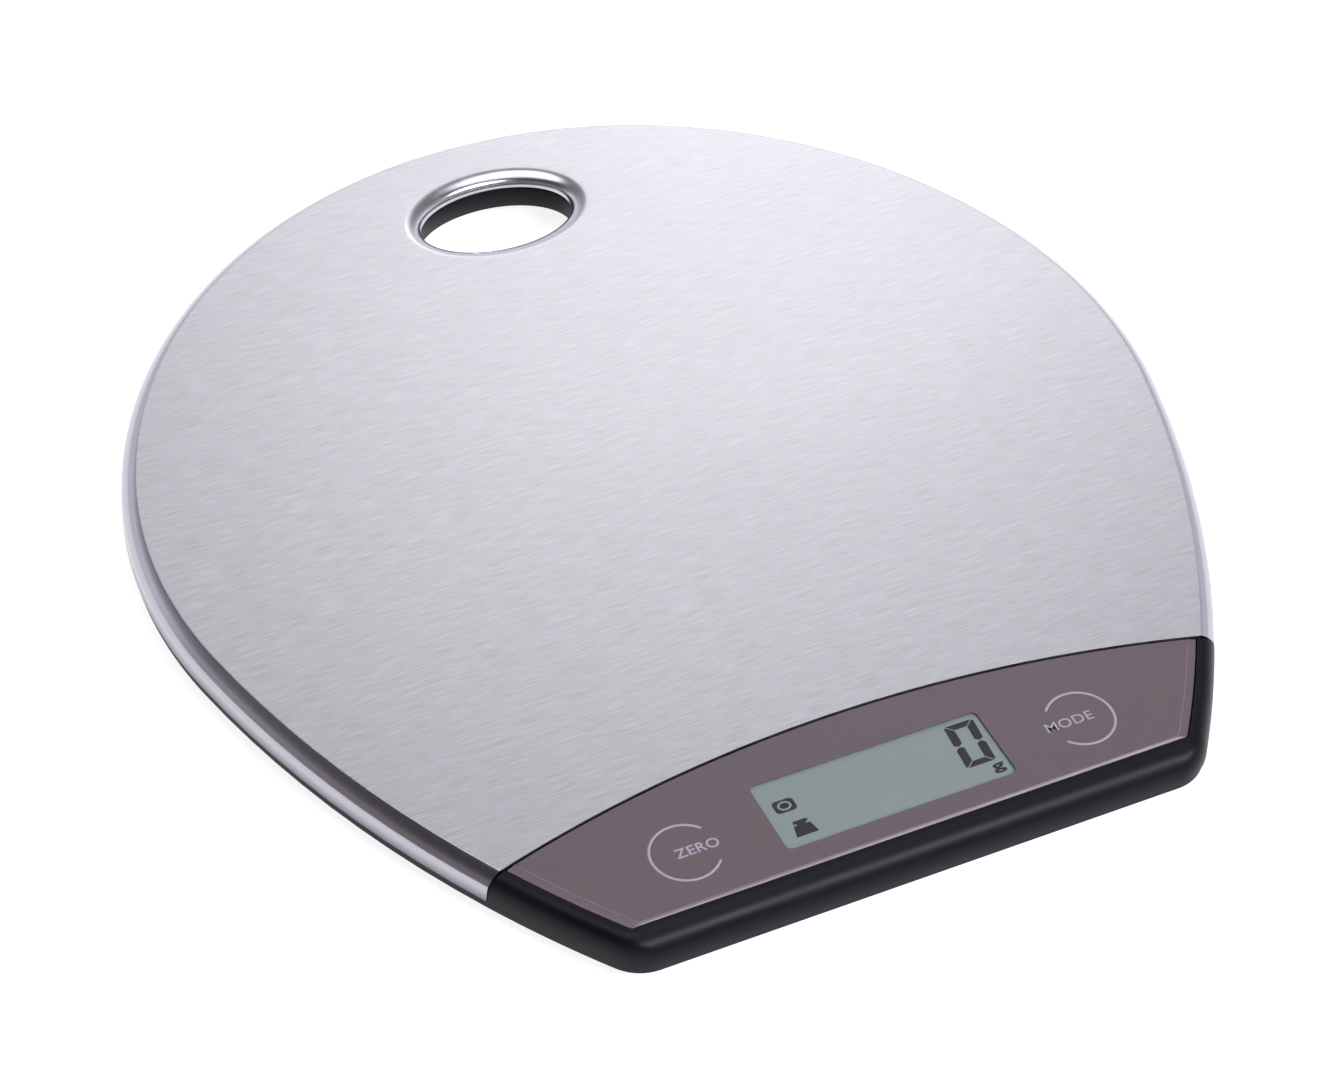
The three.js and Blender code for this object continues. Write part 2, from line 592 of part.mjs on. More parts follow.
// The foot: a rubber pad under a plastic carrier whose stem reaches up to the load cell
function addFoot(name, [x, y]) {
  const pad = [[0, 0], [6.6, 0], [7.6, 0.5], [8.2, PAD_TOP], [0, PAD_TOP]];
  addPiece(`foot_pad_${name}`, turned(pad, x, y, 0, SIDES.large), MATERIAL.rubber);

  const flange = PAD_TOP + SEAT;
  const shoulder = 4.1;
  const stemTop = CELL.bottom - CELL_GAP;
  const carrier = [
    [0, flange], [8.8, flange], [8.8, 3.7], [8.2, shoulder], [4, shoulder], [4, stemTop], [0, stemTop],
  ];
  addPiece(`foot_carrier_${name}`, turned(carrier, x, y, 0, SIDES.large), MATERIAL.baseAbs);
}

function addScrews() {
  Object.entries(SCREWS).forEach(([name, [x, y]]) => {
    const screw = screwPiece(x, y, FOOT_HEIGHT + SEAT, SCREW, BED_TOP - BED_THICK - FIT);
    addPiece(`housing_screw_${name}`, screw, MATERIAL.nickel);
  });
}

// ---------------------------------------------------------------- leads
const LEAD_RADIUS = 0.7;
const LEAD_HEIGHT = 8.75;
const BOARD_ENTRY = 7.55;
const LEADS = {
  sensor_lead_front: [
    [44.5, -70, 8.7], [41, -71, 8.6], [37, -77, 7.9], [35, -82, BOARD_ENTRY], [34, -90, BOARD_ENTRY],
  ],
  sensor_lead_rear: [
    [58, 45.5, LEAD_HEIGHT], [56, 30, LEAD_HEIGHT], [44, -10, LEAD_HEIGHT],
    [33, -50, LEAD_HEIGHT], [31, -70, 8], [31.5, -78, BOARD_ENTRY], [31.5, -90, BOARD_ENTRY],
  ],
};

function addLeads() {
  Object.entries({ left: -1, right: 1 }).forEach(([side, sign]) => {
    Object.entries(LEADS).forEach(([name, route]) => {
      const points = route.map(([x, y, z]) => new THREE.Vector3(sign * x, y, z));
      const path = new THREE.CatmullRomCurve3(points, false, 'centripetal');
      addPiece(`${name}_${side}`, tube(path, LEAD_RADIUS, 4 * points.length), MATERIAL.lead);
    });
  });
}

addPiece('platform_cover', coverPiece(), MATERIAL.brushedSteel);
addPiece('upper_housing', housingPiece(), MATERIAL.blackAbs);
addPanel();
addDisplay();
addBoard();
addTouchSprings();
addPiece('base_cover', basePiece(), MATERIAL.baseAbs);
addBatteryBay();
Object.entries(FEET).forEach(([name, place]) => {
  addLoadCell(name, place);
  addFoot(name, place);
});
addScrews();
addLeads();

export default scale;
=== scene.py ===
"""Slim electronic kitchen scale: the looks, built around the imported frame.

A brushed steel cover with a polished rolled rim and a drawn hang hole sits on a black moulded
housing. In front of one shallow arc lies the console: a smoked, back-printed panel with a liquid
crystal display and two touch keys. Underneath are a base cover with four load-sensing feet, six
screws and a battery door. Plans are worked out in millimetres and written in metres.
"""

from __future__ import annotations

import logging
import math
from dataclasses import dataclass, field
from enum import Enum

import bmesh
import bpy
from mathutils import Matrix, Vector


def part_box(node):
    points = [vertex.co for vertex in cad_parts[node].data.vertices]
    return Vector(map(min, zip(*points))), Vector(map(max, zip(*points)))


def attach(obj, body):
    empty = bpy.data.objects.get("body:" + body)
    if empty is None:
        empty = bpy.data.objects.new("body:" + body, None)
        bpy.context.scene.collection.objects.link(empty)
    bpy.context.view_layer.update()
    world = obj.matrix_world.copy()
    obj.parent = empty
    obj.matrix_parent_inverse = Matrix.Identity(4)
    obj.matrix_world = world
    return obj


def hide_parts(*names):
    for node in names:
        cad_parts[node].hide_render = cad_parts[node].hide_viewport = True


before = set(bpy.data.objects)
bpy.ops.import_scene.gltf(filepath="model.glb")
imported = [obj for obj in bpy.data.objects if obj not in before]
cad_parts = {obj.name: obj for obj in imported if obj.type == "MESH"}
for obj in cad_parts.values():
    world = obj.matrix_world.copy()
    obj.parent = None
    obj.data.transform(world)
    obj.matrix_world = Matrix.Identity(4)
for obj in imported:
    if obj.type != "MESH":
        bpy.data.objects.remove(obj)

MM = 0.001
log = logging.getLogger("kitchen_scale")

Point = tuple[float, float]
Colour = tuple[float, float, float]


# ------------------------------------------------------------------ plans and profiles
@dataclass(frozen=True)
class PlanArc:
    """One arc of a plan, with headings measured clockwise from straight back.

    Attributes:
        centre: Middle of the arc, in millimetres.
        radius: Its radius.
        start: Heading at which it starts, in radians.
        end: Heading at which it ends, in radians.
    """

    centre: Point
    radius: float
    start: float
    end: float

    def at(self, heading: float) -> Point:
        """Returns the point of the arc whose outward normal has that heading."""
        return (
            self.centre[0] + self.radius * math.sin(heading),
            self.centre[1] + self.radius * math.cos(heading),
        )

    def points(self, steps: int) -> list[Point]:
        """Returns steps + 1 points along the arc."""
        span = self.end - self.start
        return [self.at(self.start + span * i / steps) for i in range(steps + 1)]


def run_on(first: list[Point], *rest: list[Point]) -> list[Point]:
    """Joins lists of points that share their end points into one chain.

    Args:
        first: The first stretch.
        *rest: The stretches after it, each starting where the last one ends.

    Returns:
        One list with each shared point once.
    """
    chain = list(first)
    for stretch in rest:
        chain.extend(stretch[1:])
    return chain


def straight(a: Point, b: Point, steps: int) -> list[Point]:
    """Returns steps + 1 points from a to b."""
    return [(a[0] + (b[0] - a[0]) * i / steps, a[1] + (b[1] - a[1]) * i / steps) for i in range(steps + 1)]


def curl(start: Point, arcs: list[Point], steps: int, first_slope: float = 0.0) -> list[Point]:
    """Walks a profile outwards and down along arcs that run tangent into each other.

    Args:
        start: Offset and height at which the profile starts.
        arcs: Radius and final slope in degrees of each arc.
        steps: Facets on each arc.
        first_slope: Slope at the start, in degrees below level.

    Returns:
        The profile's points, as offset and height.
    """
    profile = [start]
    slope = math.radians(first_slope)
    for radius, until in arcs:
        x, z = profile[-1]
        final = math.radians(until)
        for i in range(1, steps + 1):
            turned = slope + (final - slope) * i / steps
            profile.append((
                x + radius * (math.sin(turned) - math.sin(slope)),
                z - radius * (math.cos(slope) - math.cos(turned)),
            ))
        slope = final
    return profile


@dataclass(frozen=True)
class BodyPlan:
    """Plan of the whole body, in millimetres, as its right half.

    Attributes:
        half_length: Middle of the body to its rear edge and to its front face.
        rim_width: How far the skirt stands outside the flat top.
        rear_arcs: Radius and final heading in degrees of the arcs round the back.
        flank_radius: Radius of the long flank that runs to the front corner.
        console_radius: Radius of the arc between the steel and the console.
        console_rear: Rearmost point of that arc.
        fineness: Turn of one facet, in degrees.
    """

    half_length: float = 115.0
    rim_width: float = 3.6
    rear_arcs: tuple[Point, ...] = ((105.0, 40.0), (110.0, 75.0), (98.0, 102.7))
    flank_radius: float = 237.0
    console_radius: float = 272.0
    console_rear: float = -76.9
    fineness: float = 1.25

    @property
    def half_top(self) -> float:
        """Middle of the body to the end of the flat top."""
        return self.half_length - self.rim_width

    def _arcs(self, offset: float) -> list[PlanArc]:
        """Returns the rear arcs and the start of the flank, all moved outwards by offset."""
        arcs: list[PlanArc] = []
        radius = self.rear_arcs[0][0]
        x, y, start = 0.0, self.half_top - radius, 0.0
        for next_radius, until in (*self.rear_arcs, (self.flank_radius, 180.0)):
            change = radius - next_radius
            x += change * math.sin(start)
            y += change * math.cos(start)
            radius = next_radius
            arcs.append(PlanArc((x, y), radius + offset, start, math.radians(until)))
            start = math.radians(until)
        return arcs

    def _steps(self, arc: PlanArc) -> int:
        """Returns how many facets an arc gets."""
        return max(4, round(math.degrees(arc.end - arc.start) / self.fineness))

    def crossing(self, offset: float, gap: float) -> float:
        """Heading at which the flank meets the console arc.

        Args:
            offset: How far the flank is moved outwards.
            gap: How far the console arc is moved back.

        Returns:
            The heading, in radians.
        """
        flank = self._arcs(offset)[-1]
        reach = self.console_radius + gap
        middle_y = self.console_rear - self.console_radius
        across = Vector((-flank.centre[0], middle_y - flank.centre[1]))
        apart = across.length
        along = (flank.radius**2 - reach**2 + apart**2) / (2 * apart)
        aside = math.sqrt(flank.radius**2 - along**2)
        unit = across / apart
        x = unit.x * along - unit.y * aside
        y = unit.y * along + unit.x * aside
        if x < 0:
            x = unit.x * along + unit.y * aside
            y = unit.y * along - unit.x * aside
        return math.atan2(x, y) % (2 * math.pi)

    def rear_half(self, offset: float, gap: float = 0.0) -> list[Point]:
        """Right half of the outline behind the console arc, from the rear middle forwards.

        Args:
            offset: How far outside the flat top it runs.
            gap: How far behind the console arc it stops.

        Returns:
            The points, as many for every offset.
        """
        *rear, flank = self._arcs(offset)
        end = self.crossing(offset, gap)
        short = PlanArc(flank.centre, flank.radius, flank.start, end)
        stretches = [arc.points(self._steps(arc)) for arc in rear]
        return run_on(stretches[0], *stretches[1:], short.points(10))

    def console_arc(self, x_end: float, y_end: float, gap: float, steps: int = 40) -> list[Point]:
        """Points of the console arc from its middle to the point above (x_end, y_end)."""
        middle_y = self.console_rear - self.console_radius
        end = math.atan2(x_end, y_end - middle_y)
        return PlanArc((0.0, middle_y), self.console_radius + gap, 0.0, end).points(steps)

    def console_side(self, offset: float, front: float, corner: float, gap: float) -> list[Point]:
        """Right half of an outline round the console, from the console arc to the front middle.

        Args:
            offset: How far outside the flat top its flank runs.
            front: Y of its straight front.
            corner: Radius of its front corner.
            gap: How far behind the console arc it starts.

        Returns:
            The points, as many for every setting.
        """
        flank = self._arcs(offset)[-1]
        reach = flank.radius - corner
        middle_y = front + corner
        middle_x = flank.centre[0] + math.sqrt(reach**2 - (middle_y - flank.centre[1]) ** 2)
        turn = math.atan2(middle_x - flank.centre[0], middle_y - flank.centre[1])
        side = PlanArc(flank.centre, flank.radius, self.crossing(offset, gap), turn)
        nose = PlanArc((middle_x, middle_y), corner, turn, math.pi)
        return run_on(side.points(12), nose.points(12), straight((middle_x, front), (0.0, front), 24))

    def whole_half(self, offset: float, corner: float) -> list[Point]:
        """Right half of the whole outline, from the rear middle to the front middle."""
        rear = self.rear_half(offset)
        front = -self.half_top - offset
        return run_on(rear, self.console_side(offset, front, corner, 0.0))


PLAN = BodyPlan()


@dataclass(frozen=True)
class Oval:
    """An oval hole, in millimetres."""

    y: float = 87.4
    half_x: float = 17.5
    half_y: float = 10.9
    steps: int = 80

    def half(self, growth: float) -> list[Point]:
        """Right half of the oval grown by growth, from its front end round to its rear end."""
        chain = []
        for i in range(self.steps + 1):
            angle = -math.pi / 2 + math.pi * i / self.steps
            x = (self.half_x + growth) * math.cos(angle)
            chain.append((max(x, 0.0), self.y + (self.half_y + growth) * math.sin(angle)))
        chain[0] = (0.0, chain[0][1])
        chain[-1] = (0.0, chain[-1][1])
        return chain


HOLE = Oval()


# ------------------------------------------------------------------ mesh workshop
class Blank:
    """A mesh in the making: vertices in millimetres, shaped with bmesh operators."""

    def __init__(self) -> None:
        """Starts with nothing."""
        self.bm = bmesh.new()

    def chain(self, points: list[Point], z: float, closed: bool = False) -> list[bmesh.types.BMVert]:
        """Lays a chain of edges at one height.

        Args:
            points: Its points in plan.
            z: Its height.
            closed: True if the last point joins the first.

        Returns:
            The chain's vertices in order.
        """
        verts = [self.bm.verts.new((x, y, z)) for x, y in points]
        for a, b in zip(verts, verts[1:]):
            self.bm.edges.new((a, b))
        if closed:
            self.bm.edges.new((verts[-1], verts[0]))
        return verts

    def pull(self, ring: list[bmesh.types.BMVert], points: list[Point], z: float,
             closed: bool = False) -> list[bmesh.types.BMVert]:
        """Extrudes a chain and moves the new one to its place.

        Args:
            ring: The chain that is extruded.
            points: Where the new chain's points go in plan.
            z: The new chain's height.
            closed: True if the chain is a loop.

        Returns:
            The new chain's vertices in order.
        """
        pairs = list(zip(ring, ring[1:]))
        if closed:
            pairs.append((ring[-1], ring[0]))
        edges = [self.bm.edges.get(pair) for pair in pairs]
        made = bmesh.ops.extrude_edge_only(self.bm, edges=edges)["geom"]
        fresh = {tuple(v.co): v for v in made if isinstance(v, bmesh.types.BMVert)}
        grown = [fresh[tuple(v.co)] for v in ring]
        for vert, (x, y) in zip(grown, points):
            vert.co = (x, y, z)
        return grown

    def face(self, verts: list[bmesh.types.BMVert]) -> bmesh.types.BMFace:
        """Fills a flat outline with one face."""
        return self.bm.faces.new(verts)

    def join(self, other: Blank) -> None:
        """Takes the faces of another blank in."""
        mesh = bpy.data.meshes.new("joined")
        other.bm.to_mesh(mesh)
        self.bm.from_mesh(mesh)
        bpy.data.meshes.remove(mesh)

    def mirrored(self) -> Blank:
        """Adds the left half to a right half."""
        geom = [*self.bm.verts, *self.bm.edges, *self.bm.faces]
        bmesh.ops.mirror(self.bm, geom=geom, matrix=Matrix.Identity(4), merge_dist=1e-4, axis="X")
        bmesh.ops.remove_doubles(self.bm, verts=self.bm.verts, dist=1e-4)
        return self

    def faced(self, towards: Vector) -> Blank:
        """Turns every face outwards, with the largest flat face looking towards a direction."""
        bmesh.ops.recalc_face_normals(self.bm, faces=self.bm.faces)
        largest = max(self.bm.faces, key=lambda f: f.calc_area())
        if largest.normal.dot(towards) < 0:
            bmesh.ops.reverse_faces(self.bm, faces=self.bm.faces)
        return self

    def outward(self) -> Blank:
        """Turns the faces of a closed body outwards."""
        bmesh.ops.recalc_face_normals(self.bm, faces=self.bm.faces)
        return self

    def moved(self, x: float, y: float, z: float) -> Blank:
        """Moves the whole blank, in millimetres."""
        bmesh.ops.translate(self.bm, verts=self.bm.verts, vec=(x, y, z))
        return self

    def brushed_across(self) -> Blank:
        """Lays a UV map in plan, so that its U runs along the brush lines."""
        layer = self.bm.loops.layers.uv.new("brush")
        for face in self.bm.faces:
            for loop in face.loops:
                loop[layer].uv = (loop.vert.co.x * MM, loop.vert.co.y * MM)
        return self

    def finished(self, name: str, smooth: bool = True, sharp: float | None = None) -> bpy.types.Object:
        """Writes the blank as an object at the origin, in metres.

        Args:
            name: The piece's name.
            smooth: True for smooth shading.
            sharp: Angle in degrees past which an edge is drawn sharp.

        Returns:
            The new object.
        """
        bmesh.ops.scale(self.bm, verts=self.bm.verts, vec=(MM, MM, MM))
        for face in self.bm.faces:
            face.smooth = smooth
        self.bm.edges.index_update()
        mesh = bpy.data.meshes.new(name)
        rims = [edge.index for edge in self.bm.edges if edge.is_boundary]
        self.bm.to_mesh(mesh)
        self.bm.free()
        if sharp is not None:
            mesh.set_sharp_from_angle(angle=math.radians(sharp))
            for index in rims:
                mesh.edges[index].use_edge_sharp = True
        piece = bpy.data.objects.new(name, mesh)
        bpy.context.scene.collection.objects.link(piece)
        return piece


def thickened(piece: bpy.types.Object, thickness: float, inward: bool = True) -> None:
    """Gives a shell a wall of that thickness, in millimetres."""
    wall = piece.modifiers.new("wall", "SOLIDIFY")
    wall.thickness = thickness * MM
    wall.offset = -1.0 if inward else 1.0
    wall.use_even_offset = True
    wall.use_quality_normals = True


def eased(piece: bpy.types.Object, width: float, segments: int = 2, angle: float = 40.0) -> None:
    """Rounds a piece's sharp edges by a width in millimetres."""
    edge = piece.modifiers.new("edges", "BEVEL")
    edge.width = width * MM
    edge.segments = segments
    edge.limit_method = "ANGLE"
    edge.angle_limit = math.radians(angle)
    edge.harden_normals = True
    edge.miter_outer = "MITER_ARC"


def turned(profile: list[Point], x: float, y: float, steps: int = 48) -> Blank:
    """Spins a profile of radius and height about the vertical through (x, y).

    Args:
        profile: Radius and height pairs, from the axis back to the axis.
        x: Place of the axis.
        y: Place of the axis.
        steps: Facets round it.

    Returns:
        The closed blank.
    """
    blank = Blank()
    verts = [blank.bm.verts.new((r, 0.0, z)) for r, z in profile]
    edges = [blank.bm.edges.new(pair) for pair in zip(verts, verts[1:])]
    bmesh.ops.spin(blank.bm, geom=[*verts, *edges], cent=(0, 0, 0), axis=(0, 0, 1),
                   angle=2 * math.pi, steps=steps, use_merge=True, use_duplicate=False)
    bmesh.ops.remove_doubles(blank.bm, verts=blank.bm.verts, dist=1e-4)
    return blank.outward().moved(x, y, 0.0)


def rounded_box(low: tuple[float, float], high: tuple[float, float], corner: float, steps: int = 6) -> list[Point]:
    """Plan of a rectangle with rounded corners, anticlockwise from its lower right corner."""
    middles = (
        (high[0] - corner, low[1] + corner, -90.0),
        (high[0] - corner, high[1] - corner, 0.0),
        (low[0] + corner, high[1] - corner, 90.0),
        (low[0] + corner, low[1] + corner, 180.0),
    )
    points = []
    for x, y, start in middles:
        for i in range(steps + 1):
            angle = math.radians(start + 90.0 * i / steps)
            points.append((x + corner * math.cos(angle), y + corner * math.sin(angle)))
    return points


def slab(outline: list[Point], bottom: float, top: float) -> Blank:
    """A closed plate of that plan between two heights."""
    blank = Blank()
    base = blank.chain(outline, bottom, closed=True)
    floor = blank.face(base)
    made = bmesh.ops.extrude_face_region(blank.bm, geom=[floor])["geom"]
    raised = [v for v in made if isinstance(v, bmesh.types.BMVert)]
    bmesh.ops.translate(blank.bm, verts=raised, vec=(0.0, 0.0, top - bottom))
    return blank.outward()


# ------------------------------------------------------------------ finishes
class NodeBench:
    """A material's node tree with short ways to add and join nodes."""

    def __init__(self, name: str) -> None:
        """Starts a material with one Principled node.

        Args:
            name: The material's name.
        """
        self.material = bpy.data.materials.new(name)
        self.material.use_nodes = True
        self.tree = self.material.node_tree
        self.shader = self.tree.nodes["Principled BSDF"]
        self.output = self.tree.nodes["Material Output"]

    def add(self, kind: str, **settings: object) -> bpy.types.Node:
        """Adds a node and sets its properties."""
        node = self.tree.nodes.new(kind)
        for key, value in settings.items():
            setattr(node, key, value)
        return node

    def link(self, source: bpy.types.NodeSocket, target: bpy.types.NodeSocket) -> None:
        """Joins two sockets."""
        self.tree.links.new(source, target)

    def set(self, **values: object) -> None:
        """Sets plain values on the Principled node's sockets, with _ for a space."""
        for key, value in values.items():
            self.shader.inputs[key.replace("_", " ")].default_value = value

    def place(self, scale: tuple[float, float, float] = (1.0, 1.0, 1.0), turn: float = 0.0) -> bpy.types.NodeSocket:
        """Object coordinates, scaled and turned about the vertical.

        Args:
            scale: Repeats per metre along X, Y and Z.
            turn: Turn about Z, in degrees.

        Returns:
            The socket with the mapped place.
        """
        coordinates = self.add("ShaderNodeTexCoord")
        mapping = self.add("ShaderNodeMapping")
        mapping.inputs["Scale"].default_value = scale
        mapping.inputs["Rotation"].default_value = (0.0, 0.0, math.radians(turn))
        self.link(coordinates.outputs["Object"], mapping.inputs["Vector"])
        return mapping.outputs["Vector"]

    def noise(self, place: bpy.types.NodeSocket, scale: float, detail: float = 2.0,
              roughness: float = 0.5) -> bpy.types.NodeSocket:
        """A noise pattern.

        Args:
            place: Where it is read.
            scale: Its scale.
            detail: Its octaves.
            roughness: Weight of the finer octaves.

        Returns:
            The pattern's value, from 0 to 1.
        """
        node = self.add("ShaderNodeTexNoise")
        node.inputs["Scale"].default_value = scale
        node.inputs["Detail"].default_value = detail
        node.inputs["Roughness"].default_value = roughness
        self.link(place, node.inputs["Vector"])
        return node.outputs["Fac"]

    def between(self, value: bpy.types.NodeSocket, low: float, high: float,
                start: float = 0.3, end: float = 0.7) -> bpy.types.NodeSocket:
        """Maps a pattern's range to low and high."""
        node = self.add("ShaderNodeMapRange")
        node.inputs["From Min"].default_value = start
        node.inputs["From Max"].default_value = end
        node.inputs["To Min"].default_value = low
        node.inputs["To Max"].default_value = high
        self.link(value, node.inputs["Value"])
        return node.outputs["Result"]

    def sum_of(self, a: bpy.types.NodeSocket, b: bpy.types.NodeSocket, share: float) -> bpy.types.NodeSocket:
        """a and b mixed, with that share of b."""
        node = self.add("ShaderNodeMix", data_type="FLOAT")
        node.inputs["Factor"].default_value = share
        self.link(a, node.inputs["A"])
        self.link(b, node.inputs["B"])
        return node.outputs["Result"]

    def tint(self, value: bpy.types.NodeSocket, dark: Colour, light: Colour) -> bpy.types.NodeSocket:
        """A colour from dark to light as the value goes from 0 to 1."""
        node = self.add("ShaderNodeMix", data_type="RGBA")
        node.inputs["A"].default_value = (*dark, 1.0)
        node.inputs["B"].default_value = (*light, 1.0)
        self.link(value, node.inputs["Factor"])
        return node.outputs["Result"]

    def bump(self, height: bpy.types.NodeSocket, depth: float, strength: float = 1.0) -> None:
        """Raises the surface by a pattern, to a depth in metres."""
        node = self.add("ShaderNodeBump")
        node.inputs["Strength"].default_value = strength
        node.inputs["Distance"].default_value = depth
        self.link(height, node.inputs["Height"])
        self.link(node.outputs["Normal"], self.shader.inputs["Normal"])


def shaded(colour: Colour, factor: float) -> Colour:
    """Returns a colour made lighter or darker."""
    return tuple(min(1.0, c * factor) for c in colour)


@dataclass(frozen=True)
class BrushedSteel:
    """Steel sheet brushed in long fine lines along X.

    Attributes:
        name: Material name.
        colour: Colour of the steel.
        roughness: Mean roughness.
        contrast: How far the lines are lighter and darker than the mean.
        streaks: Lines per metre across the brush direction.
        length: Lines per metre along it.
        anisotropy: Stretch of the highlights across the lines.
    """

    name: str = "steel_brushed"
    colour: Colour = (0.66, 0.655, 0.69)
    roughness: float = 0.30
    contrast: float = 0.13
    streaks: float = 2600.0
    length: float = 170.0
    anisotropy: float = 0.5

    def make(self) -> bpy.types.Material:
        """Returns the material."""
        bench = NodeBench(self.name)
        fine = bench.noise(bench.place((self.length, self.streaks, 1.0)), 1.0, 3.0, 0.6)
        coarse = bench.noise(bench.place((self.length / 2, self.streaks / 3, 1.0)), 1.0, 2.0)
        clouds = bench.noise(bench.place((9.0, 16.0, 1.0)), 1.0, 2.0)
        lines = bench.sum_of(fine, coarse, 0.25)
        grain = bench.between(lines, 0.0, 1.0, 0.33, 0.67)
        colour = bench.tint(grain, shaded(self.colour, 1 - self.contrast), shaded(self.colour, 1 + self.contrast))
        bench.link(colour, bench.shader.inputs["Base Color"])
        rough = bench.between(bench.sum_of(lines, clouds, 0.3), self.roughness - 0.03, self.roughness + 0.03)
        bench.link(rough, bench.shader.inputs["Roughness"])
        bench.set(Metallic=1.0, Anisotropic=self.anisotropy)
        tangent = bench.add("ShaderNodeTangent", direction_type="UV_MAP", uv_map="brush")
        bench.link(tangent.outputs["Tangent"], bench.shader.inputs["Tangent"])
        bench.bump(lines, 0.0000025, 0.3)
        return bench.material


@dataclass(frozen=True)
class PlainSteel:
    """Steel with a soft even shine: drawn rims, springs, screws and plates.

    Attributes:
        name: Material name.
        colour: Colour of the steel.
        roughness: Mean roughness.
        grain: Marks per metre.
        depth: Depth of the marks, in metres.
        painted_shade_heights: Heights between which the steel's colour is darkened downwards as painted shade, in
            metres, or None.
        painted_shade_share: Share of the colour left at the lowest point of the painted shade.
    """

    name: str
    colour: Colour
    roughness: float
    grain: float = 1500.0
    depth: float = 0.000004
    painted_shade_heights: Point | None = None
    painted_shade_share: float = 0.45

    def make(self) -> bpy.types.Material:
        """Returns the material."""
        bench = NodeBench(self.name)
        marks = bench.noise(bench.place(), self.grain, 3.0, 0.6)
        clouds = bench.noise(bench.place(), self.grain / 25, 2.0)
        mixed = bench.sum_of(marks, clouds, 0.5)
        colour = bench.tint(mixed, shaded(self.colour, 0.93), shaded(self.colour, 1.07))
        # Painted shade: the colour is multiplied down towards the bottom between two heights, standing in for the
        # darker floor that the skirt reflects beside the scale.
        if self.painted_shade_heights:
            height = bench.add("ShaderNodeSeparateXYZ")
            bench.link(bench.place(), height.inputs["Vector"])
            share = bench.between(height.outputs["Z"], self.painted_shade_share, 1.0, *self.painted_shade_heights)
            painted_shade_mix = bench.add("ShaderNodeMix", data_type="RGBA", blend_type="MULTIPLY")
            painted_shade_mix.inputs["Factor"].default_value = 1.0
            bench.link(colour, painted_shade_mix.inputs["A"])
            bench.link(share, painted_shade_mix.inputs["B"])
            colour = painted_shade_mix.outputs["Result"]
        bench.link(colour, bench.shader.inputs["Base Color"])
        bench.link(bench.between(mixed, self.roughness * 0.8, self.roughness * 1.2), bench.shader.inputs["Roughness"])
        bench.set(Metallic=1.0)
        bench.bump(marks, self.depth, 0.3)
        return bench.material


@dataclass(frozen=True)
class Moulding:
    """Moulded plastic or rubber with a fine eroded texture.

    Attributes:
        name: Material name.
        colour: Colour of the plastic.
        roughness: Mean roughness.
        grain: Texture marks per metre.
        depth: Depth of the texture, in metres.
        wear: How much paler the plastic is on its outer edges.
        sheen: Weight of a soft dusty sheen.
        shine: Strength of its mirror highlights, 0.5 for ordinary plastic.
    """

    name: str
    colour: Colour
    roughness: float
    grain: float = 2600.0
    depth: float = 0.000010
    wear: float = 0.25
    sheen: float = 0.0
    shine: float = 0.5

    def make(self) -> bpy.types.Material:
        """Returns the material."""
        bench = NodeBench(self.name)
        texture = bench.noise(bench.place(), self.grain, 2.0, 0.6)
        clouds = bench.noise(bench.place(), self.grain / 60, 2.0)
        base = bench.tint(clouds, shaded(self.colour, 0.85), shaded(self.colour, 1.15))
        edges = bench.add("ShaderNodeNewGeometry").outputs["Pointiness"]
        worn = bench.between(edges, 0.0, self.wear, 0.52, 0.62)
        colour = bench.add("ShaderNodeMix", data_type="RGBA")
        colour.inputs["B"].default_value = (*(min(1.0, c * 1.6 + 0.01) for c in self.colour), 1.0)
        bench.link(worn, colour.inputs["Factor"])
        bench.link(base, colour.inputs["A"])
        bench.link(colour.outputs["Result"], bench.shader.inputs["Base Color"])
        rough = bench.between(bench.sum_of(texture, clouds, 0.5), self.roughness - 0.05, self.roughness + 0.05)
        bench.link(rough, bench.shader.inputs["Roughness"])
        bench.set(Sheen_Weight=self.sheen, Specular_IOR_Level=self.shine)
        bench.bump(texture, self.depth, 0.5)
        return bench.material


@dataclass(frozen=True)
class ClearPlate:
    """Clear acrylic, thin enough that it doesn't bend what lies behind it.

    Attributes:
        name: Material name.
        tint: Colour of what passes through.
        mirror: Share that each face mirrors when seen straight on.
        roughness: Roughness of its surface.
    """

    name: str
    tint: Colour = (0.97, 0.965, 0.965)
    mirror: float = 0.010
    roughness: float = 0.2

    def make(self) -> bpy.types.Material:
        """Returns the material."""
        bench = NodeBench(self.name)
        ripple = bench.noise(bench.place(), 120.0, 2.0)
        through = bench.add("ShaderNodeBsdfTransparent")
        through.inputs["Color"].default_value = (*self.tint, 1.0)
        mirror = bench.add("ShaderNodeBsdfGlossy")
        bench.link(bench.between(ripple, self.roughness * 0.8, self.roughness * 1.2), mirror.inputs["Roughness"])
        facing = bench.add("ShaderNodeLayerWeight").outputs["Facing"]
        graze = bench.add("ShaderNodeMath", operation="POWER")
        graze.inputs[1].default_value = 5.0
        bench.link(facing, graze.inputs[0])
        share = bench.between(graze.outputs["Value"], self.mirror, 1.0, 0.0, 1.0)
        mixed = bench.add("ShaderNodeMixShader")
        bench.link(share, mixed.inputs["Fac"])
        bench.link(through.outputs["BSDF"], mixed.inputs[1])
        bench.link(mirror.outputs["BSDF"], mixed.inputs[2])
        bench.link(mixed.outputs["Shader"], bench.output.inputs["Surface"])
        bench.tree.nodes.remove(bench.shader)
        return bench.material


